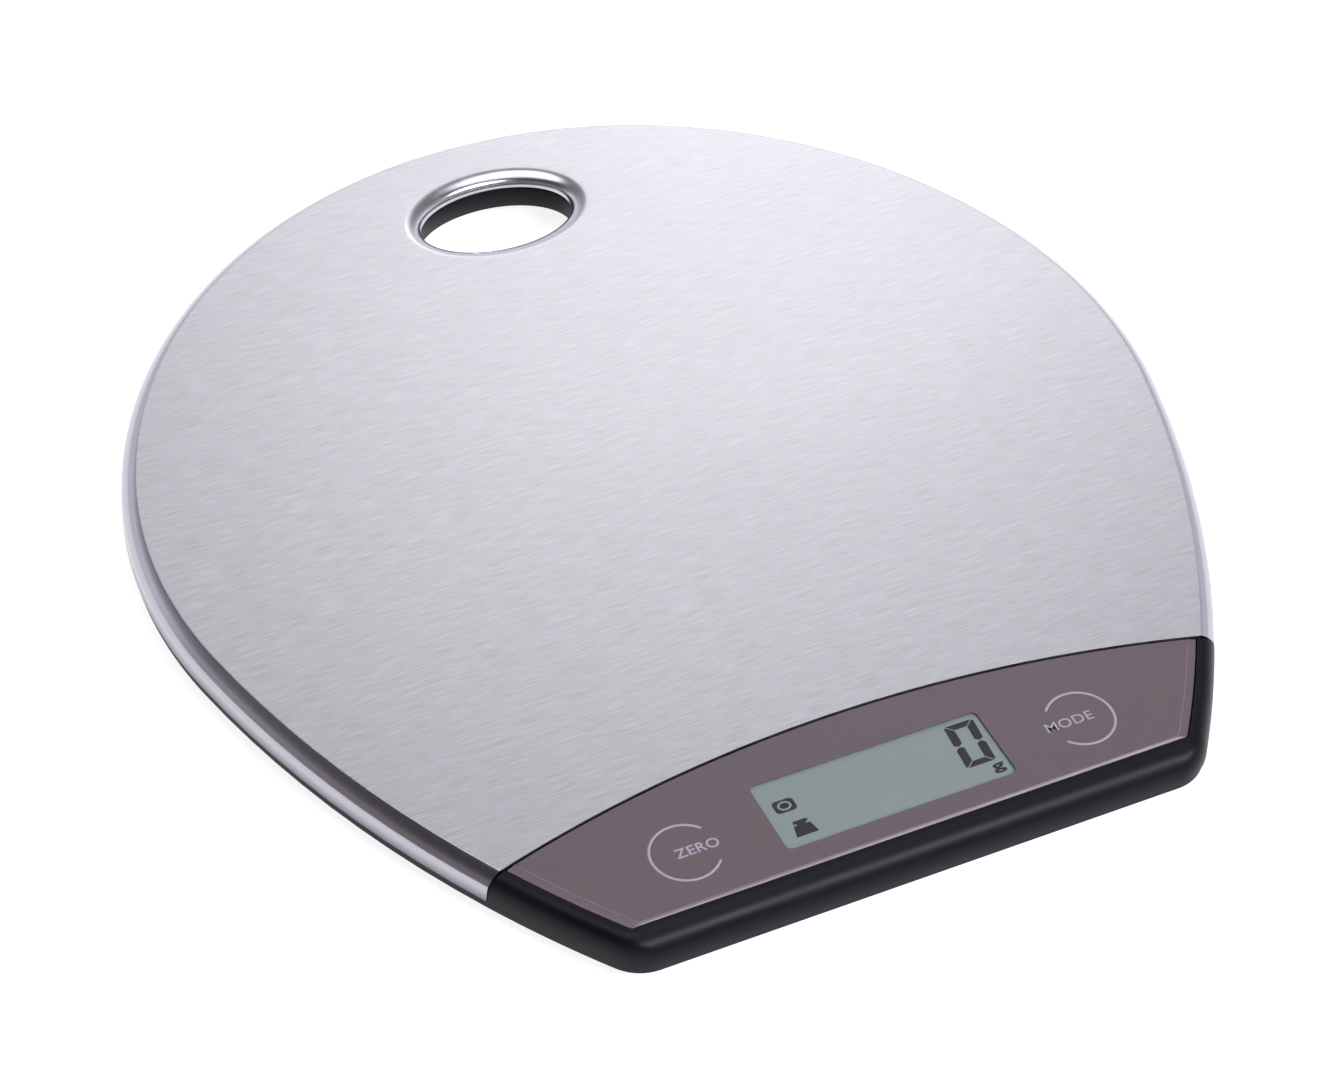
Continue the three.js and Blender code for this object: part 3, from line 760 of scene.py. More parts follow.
@dataclass(frozen=True)
class Ink:
    """Printed ink or film with a faint screen-print mottle.

    Attributes:
        name: Material name.
        colour: Colour of the ink.
        roughness: Its roughness.
        mottle: How far the colour varies.
    """

    name: str
    colour: Colour
    roughness: float = 0.55
    mottle: float = 0.04

    def make(self) -> bpy.types.Material:
        """Returns the material."""
        bench = NodeBench(self.name)
        screen = bench.noise(bench.place(), 900.0, 3.0, 0.7)
        clouds = bench.noise(bench.place(), 30.0, 2.0)
        mixed = bench.sum_of(screen, clouds, 0.5)
        colour = bench.tint(mixed, shaded(self.colour, 1 - self.mottle), shaded(self.colour, 1 + self.mottle))
        bench.link(colour, bench.shader.inputs["Base Color"])
        bench.link(bench.between(screen, self.roughness - 0.04, self.roughness + 0.04), bench.shader.inputs["Roughness"])
        bench.bump(screen, 0.000003, 0.3)
        return bench.material


@dataclass(frozen=True)
class CircuitBoard:
    """Green solder mask with the tracks showing through as paler lines."""

    name: str = "solder_mask"
    mask: Colour = (0.012, 0.09, 0.035)
    track: Colour = (0.03, 0.17, 0.07)
    pitch: float = 420.0

    def make(self) -> bpy.types.Material:
        """Returns the material."""
        bench = NodeBench(self.name)
        bricks = bench.add("ShaderNodeTexBrick", offset=0.37)
        bricks.inputs["Scale"].default_value = self.pitch
        bricks.inputs["Mortar Size"].default_value = 0.08
        bricks.inputs["Color1"].default_value = (*self.mask, 1.0)
        bricks.inputs["Color2"].default_value = (*shaded(self.mask, 1.3), 1.0)
        bricks.inputs["Mortar"].default_value = (*self.track, 1.0)
        bench.link(bench.place(), bricks.inputs["Vector"])
        bench.link(bricks.outputs["Color"], bench.shader.inputs["Base Color"])
        bench.set(Roughness=0.35, Coat_Weight=0.3)
        bench.bump(bricks.outputs["Fac"], 0.00003, 0.4)
        return bench.material


class Finishes:
    """Every finish of the scale, made once."""

    def __init__(self) -> None:
        """Makes the materials."""
        self.steel = BrushedSteel().make()
        # The rim is the same steel sheet as the top. Its colour is set darker than the brushed top's as painted shade,
        # and it is painted darker still towards the skirt's lower edge.
        self.rim = PlainSteel("steel_rim", (0.43, 0.42, 0.465), 0.12, 9000.0, 0.0000005, (0.0058, 0.0082), 0.34).make()
        self.roll = PlainSteel("steel_roll", (0.60, 0.595, 0.63), 0.22, 9000.0, 0.0000005).make()
        self.housing = Moulding("abs_housing", (0.0036, 0.0032, 0.0060), 0.40, depth=0.000003, wear=0.0, shine=0.17).make()
        self.base = Moulding("abs_base", (0.012, 0.0105, 0.019), 0.52, depth=0.000016, shine=0.15).make()
        self.clear = ClearPlate("acrylic_clear").make()
        self.film = Ink("film_smoke", (0.146, 0.112, 0.122), 0.6, 0.02).make()
        # Painted highlight: a pale line of ink where the panel's bevel crease catches light.
        self.painted_highlight_line = Ink("film_painted_highlight", (0.26, 0.21, 0.20), 0.5).make()
        self.ink = Ink("ink_pale", (0.46, 0.45, 0.52), 0.5).make()
        self.display = Ink("display_ground", (0.252, 0.325, 0.300), 0.5, 0.02).make()
        self.segment = Ink("display_segment", (0.012, 0.010, 0.010), 0.6).make()
        self.rubber = Moulding("rubber_foot", (0.022, 0.022, 0.024), 0.78, 1800.0, 0.00003, 0.4, 0.15).make()
        self.screw = PlainSteel("steel_zinc", (0.52, 0.52, 0.53), 0.32).make()
        self.nickel = PlainSteel("steel_nickel", (0.68, 0.66, 0.62), 0.22).make()
        self.spring = PlainSteel("steel_spring", (0.60, 0.60, 0.58), 0.30).make()
        self.cell = PlainSteel("steel_cell", (0.50, 0.50, 0.49), 0.38).make()
        self.white = Moulding("plastic_natural", (0.72, 0.72, 0.68), 0.5, wear=0.1).make()
        self.tape = Moulding("tape_foam", (0.03, 0.03, 0.03), 0.9, 1200.0, 0.00004).make()
        self.elastomer = Moulding("rubber_connector", (0.05, 0.05, 0.055), 0.7, 3000.0).make()
        self.board = CircuitBoard().make()
        self.epoxy = Moulding("epoxy_potting", (0.01, 0.01, 0.01), 0.25, 500.0, 0.00003).make()
        self.gauge = Moulding("silicone_gauge", (0.75, 0.75, 0.73), 0.45, 900.0, 0.00005).make()
        self.lead = Moulding("lead_sleeve", (0.045, 0.045, 0.05), 0.55, 2000.0).make()


# ------------------------------------------------------------------ pieces
BODY = "housing"


def dress(piece: bpy.types.Object, *materials: bpy.types.Material) -> None:
    """Gives a piece its materials."""
    for material in materials:
        piece.data.materials.append(material)


def settle(piece: bpy.types.Object, body: str, slot: str, *nodes: str) -> None:
    """Puts a piece on its body and in the place of its nodes.

    Args:
        piece: The finished piece.
        body: The body that it moves with.
        slot: The record's material slot; not used.
        *nodes: The nodes that it stands for.
    """
    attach(piece, body)
    if nodes:
        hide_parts(*nodes)
    log.info("%s rides on %s", piece.name, body)


@dataclass
class SteelCover:
    """The steel cover: flat brushed top, polished rolled rim and skirt, drawn hang hole.

    Attributes:
        finishes: The finishes.
        fold: How far outside the flat top's plan the sheet starts to fold.
        rim: Radius and final slope of the rim's arcs.
        roll: Radius and final slope of the roll's arcs.
        collar: Depth of the drawn collar.
        sheet: Thickness of the steel.
    """

    finishes: Finishes
    fold: float = 0.2
    rim: tuple[Point, ...] = ((0.5, 24.0), (5.6, 66.0), (1.2, 85.0))
    roll: tuple[Point, ...] = ((5.5, 28.0), (2.2, 88.0))
    collar: float = 2.8
    sheet: float = 0.5
    low: Vector = field(default_factory=lambda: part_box("platform_cover")[0])
    high: Vector = field(default_factory=lambda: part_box("platform_cover")[1])

    def _rim_profile(self) -> list[Point]:
        """Offset and height from the fold down to the skirt's edge."""
        top = self.high[2] / MM
        bottom = self.low[2] / MM
        profile = curl((self.fold, top), list(self.rim), 5)
        x, z = profile[-1]
        slope = math.radians(self.rim[-1][1])
        return [*profile, (x + (z - bottom) / math.tan(slope), bottom)]

    def _roll_profile(self) -> list[Point]:
        """Growth of the hole and height, from the flat top down to the collar's edge."""
        top = self.high[2] / MM
        down = curl((0.0, top), list(self.roll), 9)
        reach = down[-1][0]
        profile = [(reach - x, z) for x, z in down]
        return [*profile, (0.0, top - self.collar)]

    def build(self) -> bpy.types.Object:
        """Builds, dresses and settles the cover."""
        top = self.high[2] / MM
        blank = Blank()
        margin = 0.8
        outer = blank.chain(PLAN.rear_half(self.fold - 2 * margin), top)
        x_end, y_end = outer[-1].co.x, outer[-1].co.y
        arc = [blank.bm.verts.new((x, y, top)) for x, y in PLAN.console_arc(x_end, y_end, 0.0)[:-1]]
        inner = blank.chain(HOLE.half(self._roll_profile()[0][0] + margin), top)
        blank.face([*outer, *reversed(arc), *inner])
        ring = blank.pull(outer, PLAN.rear_half(self.fold - margin / 4), top)
        for offset, z in self._rim_profile():
            ring = blank.pull(ring, PLAN.rear_half(offset), z)
        ring = inner
        for growth, z in self._roll_profile():
            ring = blank.pull(ring, HOLE.half(growth), z)
        blank.mirrored().faced(Vector((0, 0, 1))).brushed_across()
        crease = top - 0.03
        for face in blank.bm.faces:
            if min(v.co.z for v in face.verts) < crease:
                middle = face.calc_center_median()
                face.material_index = 2 if Vector((middle.x, middle.y - HOLE.y)).length < HOLE.half_x * 1.5 else 1
        cover = blank.finished("steel_cover")
        dress(cover, self.finishes.steel, self.finishes.rim, self.finishes.roll)
        thickened(cover, self.sheet)
        eased(cover, 0.18, 3, 50.0)
        settle(cover, BODY, "brushed_cover", "platform_cover")
        return cover


@dataclass
class Housing:
    """The black upper housing: console shell, plate under the steel and hang hole sleeve.

    Attributes:
        finishes: The finishes.
        panel_gap: Gap between the recess and the panel.
        lip: Radius of the recess's upper edge.
        wall: Wall thickness.
        flank_power: Roundness of the flank's profile, 2 for an ellipse.
        front_power: Roundness of the front bar's profile.
        foot_corner: Radius of the front corner at its lower edge.
    """

    finishes: Finishes
    panel_gap: float = 0.15
    lip: float = 0.25
    wall: float = 1.6
    flank_power: float = 2.7
    front_power: float = 2.1
    foot_corner: float = 10.0
    steps: int = 16
    low: Vector = field(default_factory=lambda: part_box("platform_cover")[0])

    def _console(self) -> Blank:
        """The shell round the panel: recess wall, shoulder and the rounded bar down to its edge."""
        shoulder = ConsolePanel.top - 0.3
        bottom = self.low[2] / MM
        gap = -0.3
        inner = PLAN.console_side(-ConsolePanel.inset + self.panel_gap, ConsolePanel.front - self.panel_gap, 0.9, gap)
        outer = PLAN.console_side(PLAN.rim_width, -PLAN.half_length, self.foot_corner, gap)
        blank = Blank()
        ring = blank.chain(inner, shoulder - 1.5)
        ring = blank.pull(ring, inner, shoulder - self.lip)
        flank_points = 12
        nose_points = 12
        for i in range(self.steps + 1):
            turn = math.pi / 2 * i / self.steps
            points = []
            heights = []
            for n, (a, b) in enumerate(zip(inner, outer)):
                share = min(max((n - flank_points) / nose_points, 0.0), 1.0)
                power = self.flank_power + (self.front_power - self.flank_power) * share
                across = math.sin(turn) ** (2 / power)
                down = 1 - math.cos(turn) ** (2 / power)
                points.append((a[0] + (b[0] - a[0]) * across, a[1] + (b[1] - a[1]) * across))
                heights.append(shoulder - (shoulder - bottom) * down)
            ring = blank.pull(ring, points, bottom)
            for vert, z in zip(ring, heights):
                vert.co.z = z
        return blank

    def _plate(self) -> Blank:
        """The plate under the steel with the sleeve that lines the hang hole."""
        plate_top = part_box("platform_cover")[1][2] / MM - 0.7
        sleeve_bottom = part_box("upper_housing")[0][2] / MM
        bottom = self.low[2] / MM
        blank = Blank()
        outer = blank.chain(PLAN.rear_half(-1.0, 0.3), plate_top)
        x_end, y_end = outer[-1].co.x, outer[-1].co.y
        arc = [blank.bm.verts.new((x, y, plate_top)) for x, y in PLAN.console_arc(x_end, y_end, 0.3)[:-1]]
        inner = blank.chain(HOLE.half(5.0), plate_top)
        blank.face([*outer, *reversed(arc), *inner])
        ring = outer
        for offset, z in ((0.4, plate_top), (2.0, plate_top - 1.4), (2.6, bottom + 2.0), (2.7, bottom)):
            ring = blank.pull(ring, PLAN.rear_half(offset, 0.3), z)
        ring = inner
        collar_end = plate_top + 0.7 - SteelCover.collar
        sleeve = ((4.4, plate_top - 0.3), (1.3, collar_end - 0.4), (0.5, collar_end - 0.6),
                  (0.4, collar_end - 0.8), (0.4, sleeve_bottom + 0.4), (0.7, sleeve_bottom))
        for growth, z in sleeve:
            ring = blank.pull(ring, HOLE.half(growth), z)
        return blank

    def build(self) -> bpy.types.Object:
        """Builds, dresses and settles the housing."""
        shell = self._console().mirrored()
        bmesh.ops.recalc_face_normals(shell.bm, faces=shell.bm.faces)
        top_face = max(shell.bm.faces, key=lambda f: f.calc_center_median().z)
        if top_face.normal.z < 0:
            bmesh.ops.reverse_faces(shell.bm, faces=shell.bm.faces)
        plate = self._plate().mirrored().faced(Vector((0, 0, 1)))
        shell.join(plate)
        housing = shell.finished("housing_shell")
        dress(housing, self.finishes.housing)
        thickened(housing, self.wall)
        eased(housing, 0.12, 2, 50.0)
        settle(housing, BODY, "black_housing", "upper_housing")
        return housing


@dataclass
class ConsolePanel:
    """The smoked panel: a clear skin over a printed film, with a window and two touch keys.

    Attributes:
        finishes: The finishes.
        top: Height of its upper face.
        inset: Gap to the edge of the flat top's plan.
        front: Y of its straight front edge.
        corner: Radius of its front corners.
        bevel: Width and drop of the polished bevel along the flanks and along the front.
        skin: Thickness of the clear layer above the print.
    """

    finishes: Finishes
    top: float = 11.9
    inset: float = 0.6
    front: float = -109.4
    corner: float = 1.0
    flank_bevel: float = 1.7
    front_bevel: float = 0.55
    drop: float = 0.32
    skin: float = 0.1
    film: float = 0.12
    window: tuple[float, float] = (48.8, 17.1)
    window_corner: float = 1.3
    display_y: float = -95.8
    key_x: float = 42.2
    key_y: float = -97.1
    ring_radius: float = 6.76
    ring_line: float = 0.58
    cap_height: float = 2.3

    def _plan(self, inward: float, front_inward: float, rear_inward: float) -> list[Point]:
        """Right half of the panel's outline from the console arc's middle to the front middle.

        Args:
            inward: How far inside the edge it runs along the flanks.
            front_inward: How far inside the edge it runs along the front.
            rear_inward: How far inside the edge it runs along the console arc.

        Returns:
            The points in order.
        """
        gap = -0.3 - rear_inward
        side = PLAN.console_side(-self.inset - inward, self.front + front_inward, self.corner, gap)
        rear = PLAN.console_arc(*side[0], gap)
        return run_on(rear, side)

    def _skin(self, lowered: float, edge: float) -> Blank:
        """The bevelled upper face, lowered by that much and with its edge moved inwards."""
        blank = Blank()
        z = self.top - lowered
        field_edge = blank.chain(self._plan(self.flank_bevel + 0.5, self.front_bevel + 0.5, 0.6), z)
        blank.face(field_edge)
        ring = blank.pull(field_edge, self._plan(self.flank_bevel, self.front_bevel, 0.2), z)
        ring = blank.pull(ring, self._plan(self.flank_bevel - 0.12, self.front_bevel - 0.08, 0.15), z - 0.01)
        ring = blank.pull(ring, self._plan(edge + 0.05, edge + 0.05, 0.05), z - self.drop)
        blank.pull(ring, self._plan(edge, edge, 0.0), z - self.drop - 0.05)
        return blank

    def build_skin(self) -> bpy.types.Object:
        """Builds the clear skin, which stands for the panel."""
        blank = self._skin(0.0, 0.0).mirrored().faced(Vector((0, 0, 1)))
        skin = blank.finished("panel_skin", sharp=25.0)
        dress(skin, self.finishes.clear)
        thickened(skin, self.skin)
        settle(skin, BODY, "panel", "control_panel")
        return skin

    def build_film(self) -> bpy.types.Object:
        """Builds the printed film with its window."""
        blank = Blank()
        z = self.top - self.skin - 0.03
        outer = blank.chain(self._plan(self.flank_bevel + 0.5, self.front_bevel + 0.5, 0.6), z)
        half_x, half_y = self.window[0] / 2, self.window[1] / 2
        ring = rounded_box((-half_x, self.display_y - half_y), (half_x, self.display_y + half_y), self.window_corner)
        count = len(ring) // 4
        right = [(0.0, ring[0][1]), *ring[: 2 * count], (0.0, ring[2 * count][1])]
        hole = blank.chain(right, z)
        blank.face([*outer, *hole])
        edge = blank.pull(outer, self._plan(self.flank_bevel, self.front_bevel, 0.2), z)
        edge = blank.pull(edge, self._plan(0.15, 0.15, 0.15), z - self.drop)
        blank.pull(edge, self._plan(0.1, 0.1, 0.1), z - self.drop - 0.9)
        blank.mirrored().faced(Vector((0, 0, 1)))
        film = blank.finished("panel_film", sharp=25.0)
        dress(film, self.finishes.film)
        thickened(film, self.film)
        settle(film, BODY, "panel")
        return film

    def build_painted_highlight_line(self) -> bpy.types.Object:
        """Builds the pale line along the flanks and the front, a painted highlight standing for the light caught on
        the bevel's crease.
        """
        blank = Blank()
        z = self.top - self.skin - 0.015
        side = PLAN.console_side(-self.inset - self.flank_bevel, self.front + self.front_bevel, self.corner, -0.4)
        line = 0.22
        inside = PLAN.console_side(-self.inset - self.flank_bevel - line, self.front + self.front_bevel + line,
                                   self.corner, -0.4)
        blank.pull(blank.chain(side, z), inside, z)
        blank.mirrored().faced(Vector((0, 0, 1)))
        painted_highlight_line = blank.finished("panel_painted_highlight")
        dress(painted_highlight_line, self.finishes.painted_highlight_line)
        thickened(painted_highlight_line, 0.012)
        settle(painted_highlight_line, BODY, "panel")
        return painted_highlight_line

    def _ring(self, name: str, x: float, gap_heading: float) -> bpy.types.Object:
        """Builds one open key ring.

        Args:
            name: The piece's name.
            x: Its middle.
            gap_heading: Direction of its gap from the middle, in degrees from +X.

        Returns:
            The ring.
        """
        blank = Blank()
        z = self.top - self.skin - 0.012
        half_gap = 38.5
        steps = 72
        start = math.radians(gap_heading + half_gap)
        span = math.radians(360 - 2 * half_gap)
        inner, outer = [], []
        for i in range(steps + 1):
            angle = start + span * i / steps
            for radius, points in ((self.ring_radius - self.ring_line / 2, inner),
                                   (self.ring_radius + self.ring_line / 2, outer)):
                points.append((x + radius * math.cos(angle), self.key_y + radius * math.sin(angle)))
        blank.pull(blank.chain(inner, z), outer, z)
        blank.faced(Vector((0, 0, 1)))
        ring = blank.finished(name)
        dress(ring, self.finishes.ink)
        thickened(ring, 0.012)
        settle(ring, BODY, "panel")
        return ring

    def build_keys(self) -> None:
        """Builds the two key rings and their labels."""
        z = self.top - self.skin - 0.012
        self._ring("key_ring_zero", -self.key_x, 0.0)
        self._ring("key_ring_mode", self.key_x, 180.0)
        lettering("key_label_zero", "ZERO", (-44.1, -98.15, z), self.cap_height, 8.85, self.finishes.ink)
        lettering("key_label_mode", "MODE", (34.75, -98.15, z), self.cap_height, 10.15, self.finishes.ink,
                  weight=0.004)

    def build(self) -> None:
        """Builds the whole panel."""
        self.build_skin()
        self.build_film()
        self.build_painted_highlight_line()
        self.build_keys()


def lettering(name: str, words: str, corner: tuple[float, float, float], cap: float, width: float,
              ink: bpy.types.Material, slot: str = "panel", weight: float = 0.012) -> bpy.types.Object:
    """Flat lettering as a mesh, fitted to a cap height and a width in millimetres.

    Args:
        name: The piece's name.
        words: What it says.
        corner: Lower left corner.
        cap: Height of a capital.
        width: Width of the whole word.
        ink: Its material.
        slot: The record's material slot.
        weight: How much its strokes are thickened, as a share of the type size.

    Returns:
        The lettering.
    """
    curve = bpy.data.curves.new(name, "FONT")
    curve.body = words
    curve.size = 1.0
    curve.space_character = 1.06
    curve.resolution_u = 6
    curve.offset = weight
    curve.extrude = 0.004
    text = bpy.data.objects.new(name + "_text", curve)
    bpy.context.scene.collection.objects.link(text)
    mesh = bpy.data.meshes.new_from_object(text)
    bpy.data.objects.remove(text)
    bpy.data.curves.remove(curve)
    mesh.name = name
    bm = bmesh.new()
    bm.from_mesh(mesh)
    bmesh.ops.remove_doubles(bm, verts=bm.verts, dist=1e-5)
    xs = [v.co.x for v in bm.verts]
    ys = [v.co.y for v in bm.verts]
    scale_x = width / (max(xs) - min(xs))
    scale_y = cap / (max(ys) - min(ys))
    for vert in bm.verts:
        vert.co = Vector((
            (corner[0] + (vert.co.x - min(xs)) * scale_x) * MM,
            (corner[1] + (vert.co.y - min(ys)) * scale_y) * MM,
            (corner[2] + vert.co.z * 1.5) * MM,
        ))
    bm.to_mesh(mesh)
    bm.free()
    piece = bpy.data.objects.new(name, mesh)
    bpy.context.scene.collection.objects.link(piece)
    dress(piece, ink)
    settle(piece, BODY, slot)
    return piece


@dataclass
class Display:
    """The liquid crystal display: its glass, a seven-segment nought, the unit and two icons.

    Attributes:
        finishes: The finishes.
        face: Height of its visible face.
        ink: Thickness of a segment.
    """

    finishes: Finishes
    face: float = 11.27
    ink: float = 0.02
    low: Vector = field(default_factory=lambda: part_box("lcd_front_glass")[0])
    high: Vector = field(default_factory=lambda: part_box("lcd_front_glass")[1])
    digit_corner: Point = (16.1, -99.5)
    digit_size: Point = (6.35, 11.1)
    slant: float = 0.075
    bar: float = 1.8
    cap_bar: float = 1.35
    split: float = 0.2

    def _mark(self, name: str, outline: list[Point]) -> bpy.types.Object:
        """One dark mark on the display's face."""
        blank = slab(outline, self.face + 0.005, self.face + 0.005 + self.ink)
        mark = blank.finished(name, smooth=False)
        dress(mark, self.finishes.segment)
        settle(mark, BODY, "display_reflector")
        return mark

    def _glass(self) -> None:
        """The display's ground, which shows in the window."""
        ground = slab(
            rounded_box((self.low[0] / MM, self.low[1] / MM), (self.high[0] / MM, self.high[1] / MM), 0.4),
            self.low[2] / MM, self.face,
        )
        glass = ground.finished("lcd_ground", smooth=False)
        dress(glass, self.finishes.display)
        settle(glass, BODY, "display_reflector", "lcd_front_glass")

    def _segments(self) -> None:
        """The six lit segments of the nought."""
        width, height = self.digit_size
        bar, cap, cut = self.bar, self.cap_bar, self.split / 2
        middle = height / 2
        tip = bar / 2
        outlines = {
            "top": [(cut + 0.35, height), (width - cut - 0.35, height), (width - bar - cut, height - cap),
                    (bar + cut, height - cap)],
            "bottom": [(cut + 0.35, 0.0), (bar + cut, cap), (width - bar - cut, cap), (width - cut - 0.35, 0.0)],
            "left_upper": [(0.0, height - 0.35), (0.35, height - cut * 2), (bar, height - cap - cut * 2),
                           (bar, middle + tip * 0.8), (bar * 0.55, middle + cut), (0.0, middle + tip * 0.55)],
            "left_lower": [(0.0, 0.35), (0.0, middle - tip * 0.8), (bar * 0.45, middle - cut),
                           (bar, middle - tip * 0.55), (bar, cap + cut * 2), (0.35, cut * 2)],
        }
        for side, rows in (("right_upper", "left_upper"), ("right_lower", "left_lower")):
            outlines[side] = [(width - x, y) for x, y in outlines[rows]][::-1]
        x0, y0 = self.digit_corner
        for name, outline in outlines.items():
            placed = [(x0 + x + (y - 0.0) * self.slant, y0 + y) for x, y in outline]
            self._mark(f"lcd_segment_{name}", placed)

    def _icons(self) -> None:
        """The stable mark, a ring in a rounded box, and the weight mark."""
        box_x, box_y = -19.95, -93.85
        z = self.face + 0.005
        blank = Blank()
        outline = rounded_box((box_x - 2.2, box_y - 1.55), (box_x + 2.2, box_y + 1.55), 0.85)
        outer = blank.chain(outline, z, closed=True)
        turns = len(outline)
        ring = blank.chain([
            (box_x + 1.42 * math.cos(math.radians(-75 + 360 * i / turns)),
             box_y + 1.14 * math.sin(math.radians(-75 + 360 * i / turns))) for i in range(turns)
        ], z, closed=True)
        edges = [e for v in (*outer, *ring) for e in v.link_edges]
        bmesh.ops.bridge_loops(blank.bm, edges=list(dict.fromkeys(edges)))
        dot = blank.chain([
            (box_x + 0.98 * math.cos(2 * math.pi * i / 24), box_y + 0.72 * math.sin(2 * math.pi * i / 24))
            for i in range(24)
        ], z, closed=True)
        blank.face(dot)
        blank.faced(Vector((0, 0, 1)))
        mark = blank.finished("lcd_icon_stable", smooth=False)
        dress(mark, self.finishes.segment)
        thickened(mark, self.ink, inward=False)
        settle(mark, BODY, "display_reflector")

        foot, half = -101.9, 2.3
        weight = [(-half, 0.0), (half, 0.0), (half - 0.6, 2.65), (0.95, 2.65), (0.95, 3.05), (1.5, 3.05),
                  (1.5, 3.8), (-1.5, 3.8), (-1.5, 3.05), (-0.95, 3.05), (-0.95, 2.65), (-half + 0.6, 2.65)]
        self._mark("lcd_icon_weight", [(-19.0 + x, foot + y) for x, y in weight])

    def build(self) -> None:
        """Builds the whole display."""
        self._glass()
        self._segments()
        self._icons()
        corner = (20.6, -102.95, self.face + 0.01)
        lettering("lcd_unit", "g", corner, 2.5, 2.6, self.finishes.segment, "display_reflector", 0.034)


@dataclass
class BaseCover:
    """The black base cover with its foot wells, screw wells, battery bay and hang hole.

    Attributes:
        finishes: The finishes.
        inset: How far the strip stands in from the skirt.
        edge: Radius of its lower edge.
        wall: Wall thickness; not used.
        seam: Gap below the skirt.
    """

    finishes: Finishes
    inset: float = 0.4
    edge: float = 0.7
    wall: float = 1.4
    seam: float = 0.2
    corner: float = 9.6
    foot_well: float = 9.5
    screw_well: float = 3.0
    door_gap: float = 0.3
    low: Vector = field(default_factory=lambda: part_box("base_cover")[0])
    door_low: Vector = field(default_factory=lambda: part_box("battery_door")[0])
    door_high: Vector = field(default_factory=lambda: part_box("battery_door")[1])

    def _circle(self, x: float, y: float, radius: float, steps: int = 40) -> list[Point]:
        """Plan of a round well."""
        return [(x + radius * math.cos(2 * math.pi * i / steps), y + radius * math.sin(2 * math.pi * i / steps))
                for i in range(steps)]

    def _round_well(self, blank: Blank, x: float, y: float, radius: float, depth: float, capped: bool) -> None:
        """Sinks a round well with a chamfered mouth into the underside.

        Args:
            blank: The base cover in the making.
            x: Place of the well.
            y: Place of the well.
            radius: Its radius.
            depth: Its depth.
            capped: True if it has a bottom.
        """
        floor = self.low[2] / MM
        ring = blank.chain(self._circle(x, y, radius + 0.3), floor, closed=True)
        self.mouths.extend(ring)
        ring = blank.pull(ring, self._circle(x, y, radius), floor + 0.3, closed=True)
        ring = blank.pull(ring, self._circle(x, y, radius), floor + depth, closed=True)
        if capped:
            blank.face(ring)

    def build(self) -> bpy.types.Object:
        """Builds, dresses and settles the base cover."""
        self.mouths: list[bmesh.types.BMVert] = []
        floor = self.low[2] / MM
        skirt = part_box("platform_cover")[0][2] / MM
        strip = PLAN.rim_width - self.inset
        blank = Blank()
        start = blank.chain(PLAN.whole_half(strip - self.edge, self.corner - self.edge), floor)
        ring = start
        for i in range(1, 7):
            turn = math.pi / 2 * i / 6
            out = strip - self.edge + self.edge * math.sin(turn)
            ring = blank.pull(ring, PLAN.whole_half(out, self.corner - self.edge + self.edge * math.sin(turn)),
                              floor + self.edge * (1 - math.cos(turn)))
        ring = blank.pull(ring, PLAN.whole_half(strip, self.corner), skirt - self.seam)
        ring = blank.pull(ring, PLAN.whole_half(strip - 1.6, self.corner - 1.6), skirt - self.seam)
        blank.pull(ring, PLAN.whole_half(strip - 1.6, self.corner - 1.6), skirt + 1.0)

        for name in ("front_right", "rear_right"):
            low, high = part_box(f"foot_pad_{name}")
            x, y = (low[0] + high[0]) / 2 / MM, (low[1] + high[1]) / 2 / MM
            self._round_well(blank, x, y, self.foot_well, 1.9, False)
        for name in ("front_right", "side_right", "rear_right"):
            low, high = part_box(f"housing_screw_{name}")
            x, y = (low[0] + high[0]) / 2 / MM, (low[1] + high[1]) / 2 / MM
            self._round_well(blank, x, y, self.screw_well, 1.0, True)

        hole = blank.chain(HOLE.half(2.6), floor)
        inner = blank.pull(hole, HOLE.half(2.3), floor + 0.3)
        blank.pull(inner, HOLE.half(2.3), skirt - self.seam)

        half = (self.door_high[0] - self.door_low[0]) / 2 / MM - 0.9 + self.door_gap
        front = self.door_low[1] / MM - self.door_gap
        rear = self.door_high[1] / MM + self.door_gap
        bay = rounded_box((-half, front), (half, rear), 0.8)
        count = len(bay) // 4
        plan = [(0.0, bay[0][1]), *bay[: 2 * count], (0.0, bay[2 * count][1])]
        mouth = blank.chain(plan, floor)
        ceiling_z = self.door_high[2] / MM + self.door_gap
        ceiling = blank.pull(mouth, plan, ceiling_z)
        cell_low, cell_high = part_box("coin_cell")
        y_mid = (cell_low[1] + cell_high[1]) / 2 / MM
        bore = (cell_high[0] - cell_low[0]) / 2 / MM + 0.4
        well_plan = [(bore * math.sin(math.pi * i / 32), y_mid - bore * math.cos(math.pi * i / 32)) for i in range(33)]
        well_plan[0] = (0.0, well_plan[0][1])
        well_plan[-1] = (0.0, well_plan[-1][1])
        well = blank.chain(well_plan, ceiling_z)
        blank.face([*ceiling, *reversed(well)])
        blank.pull(well, well_plan, cell_high[2] / MM + 0.2)

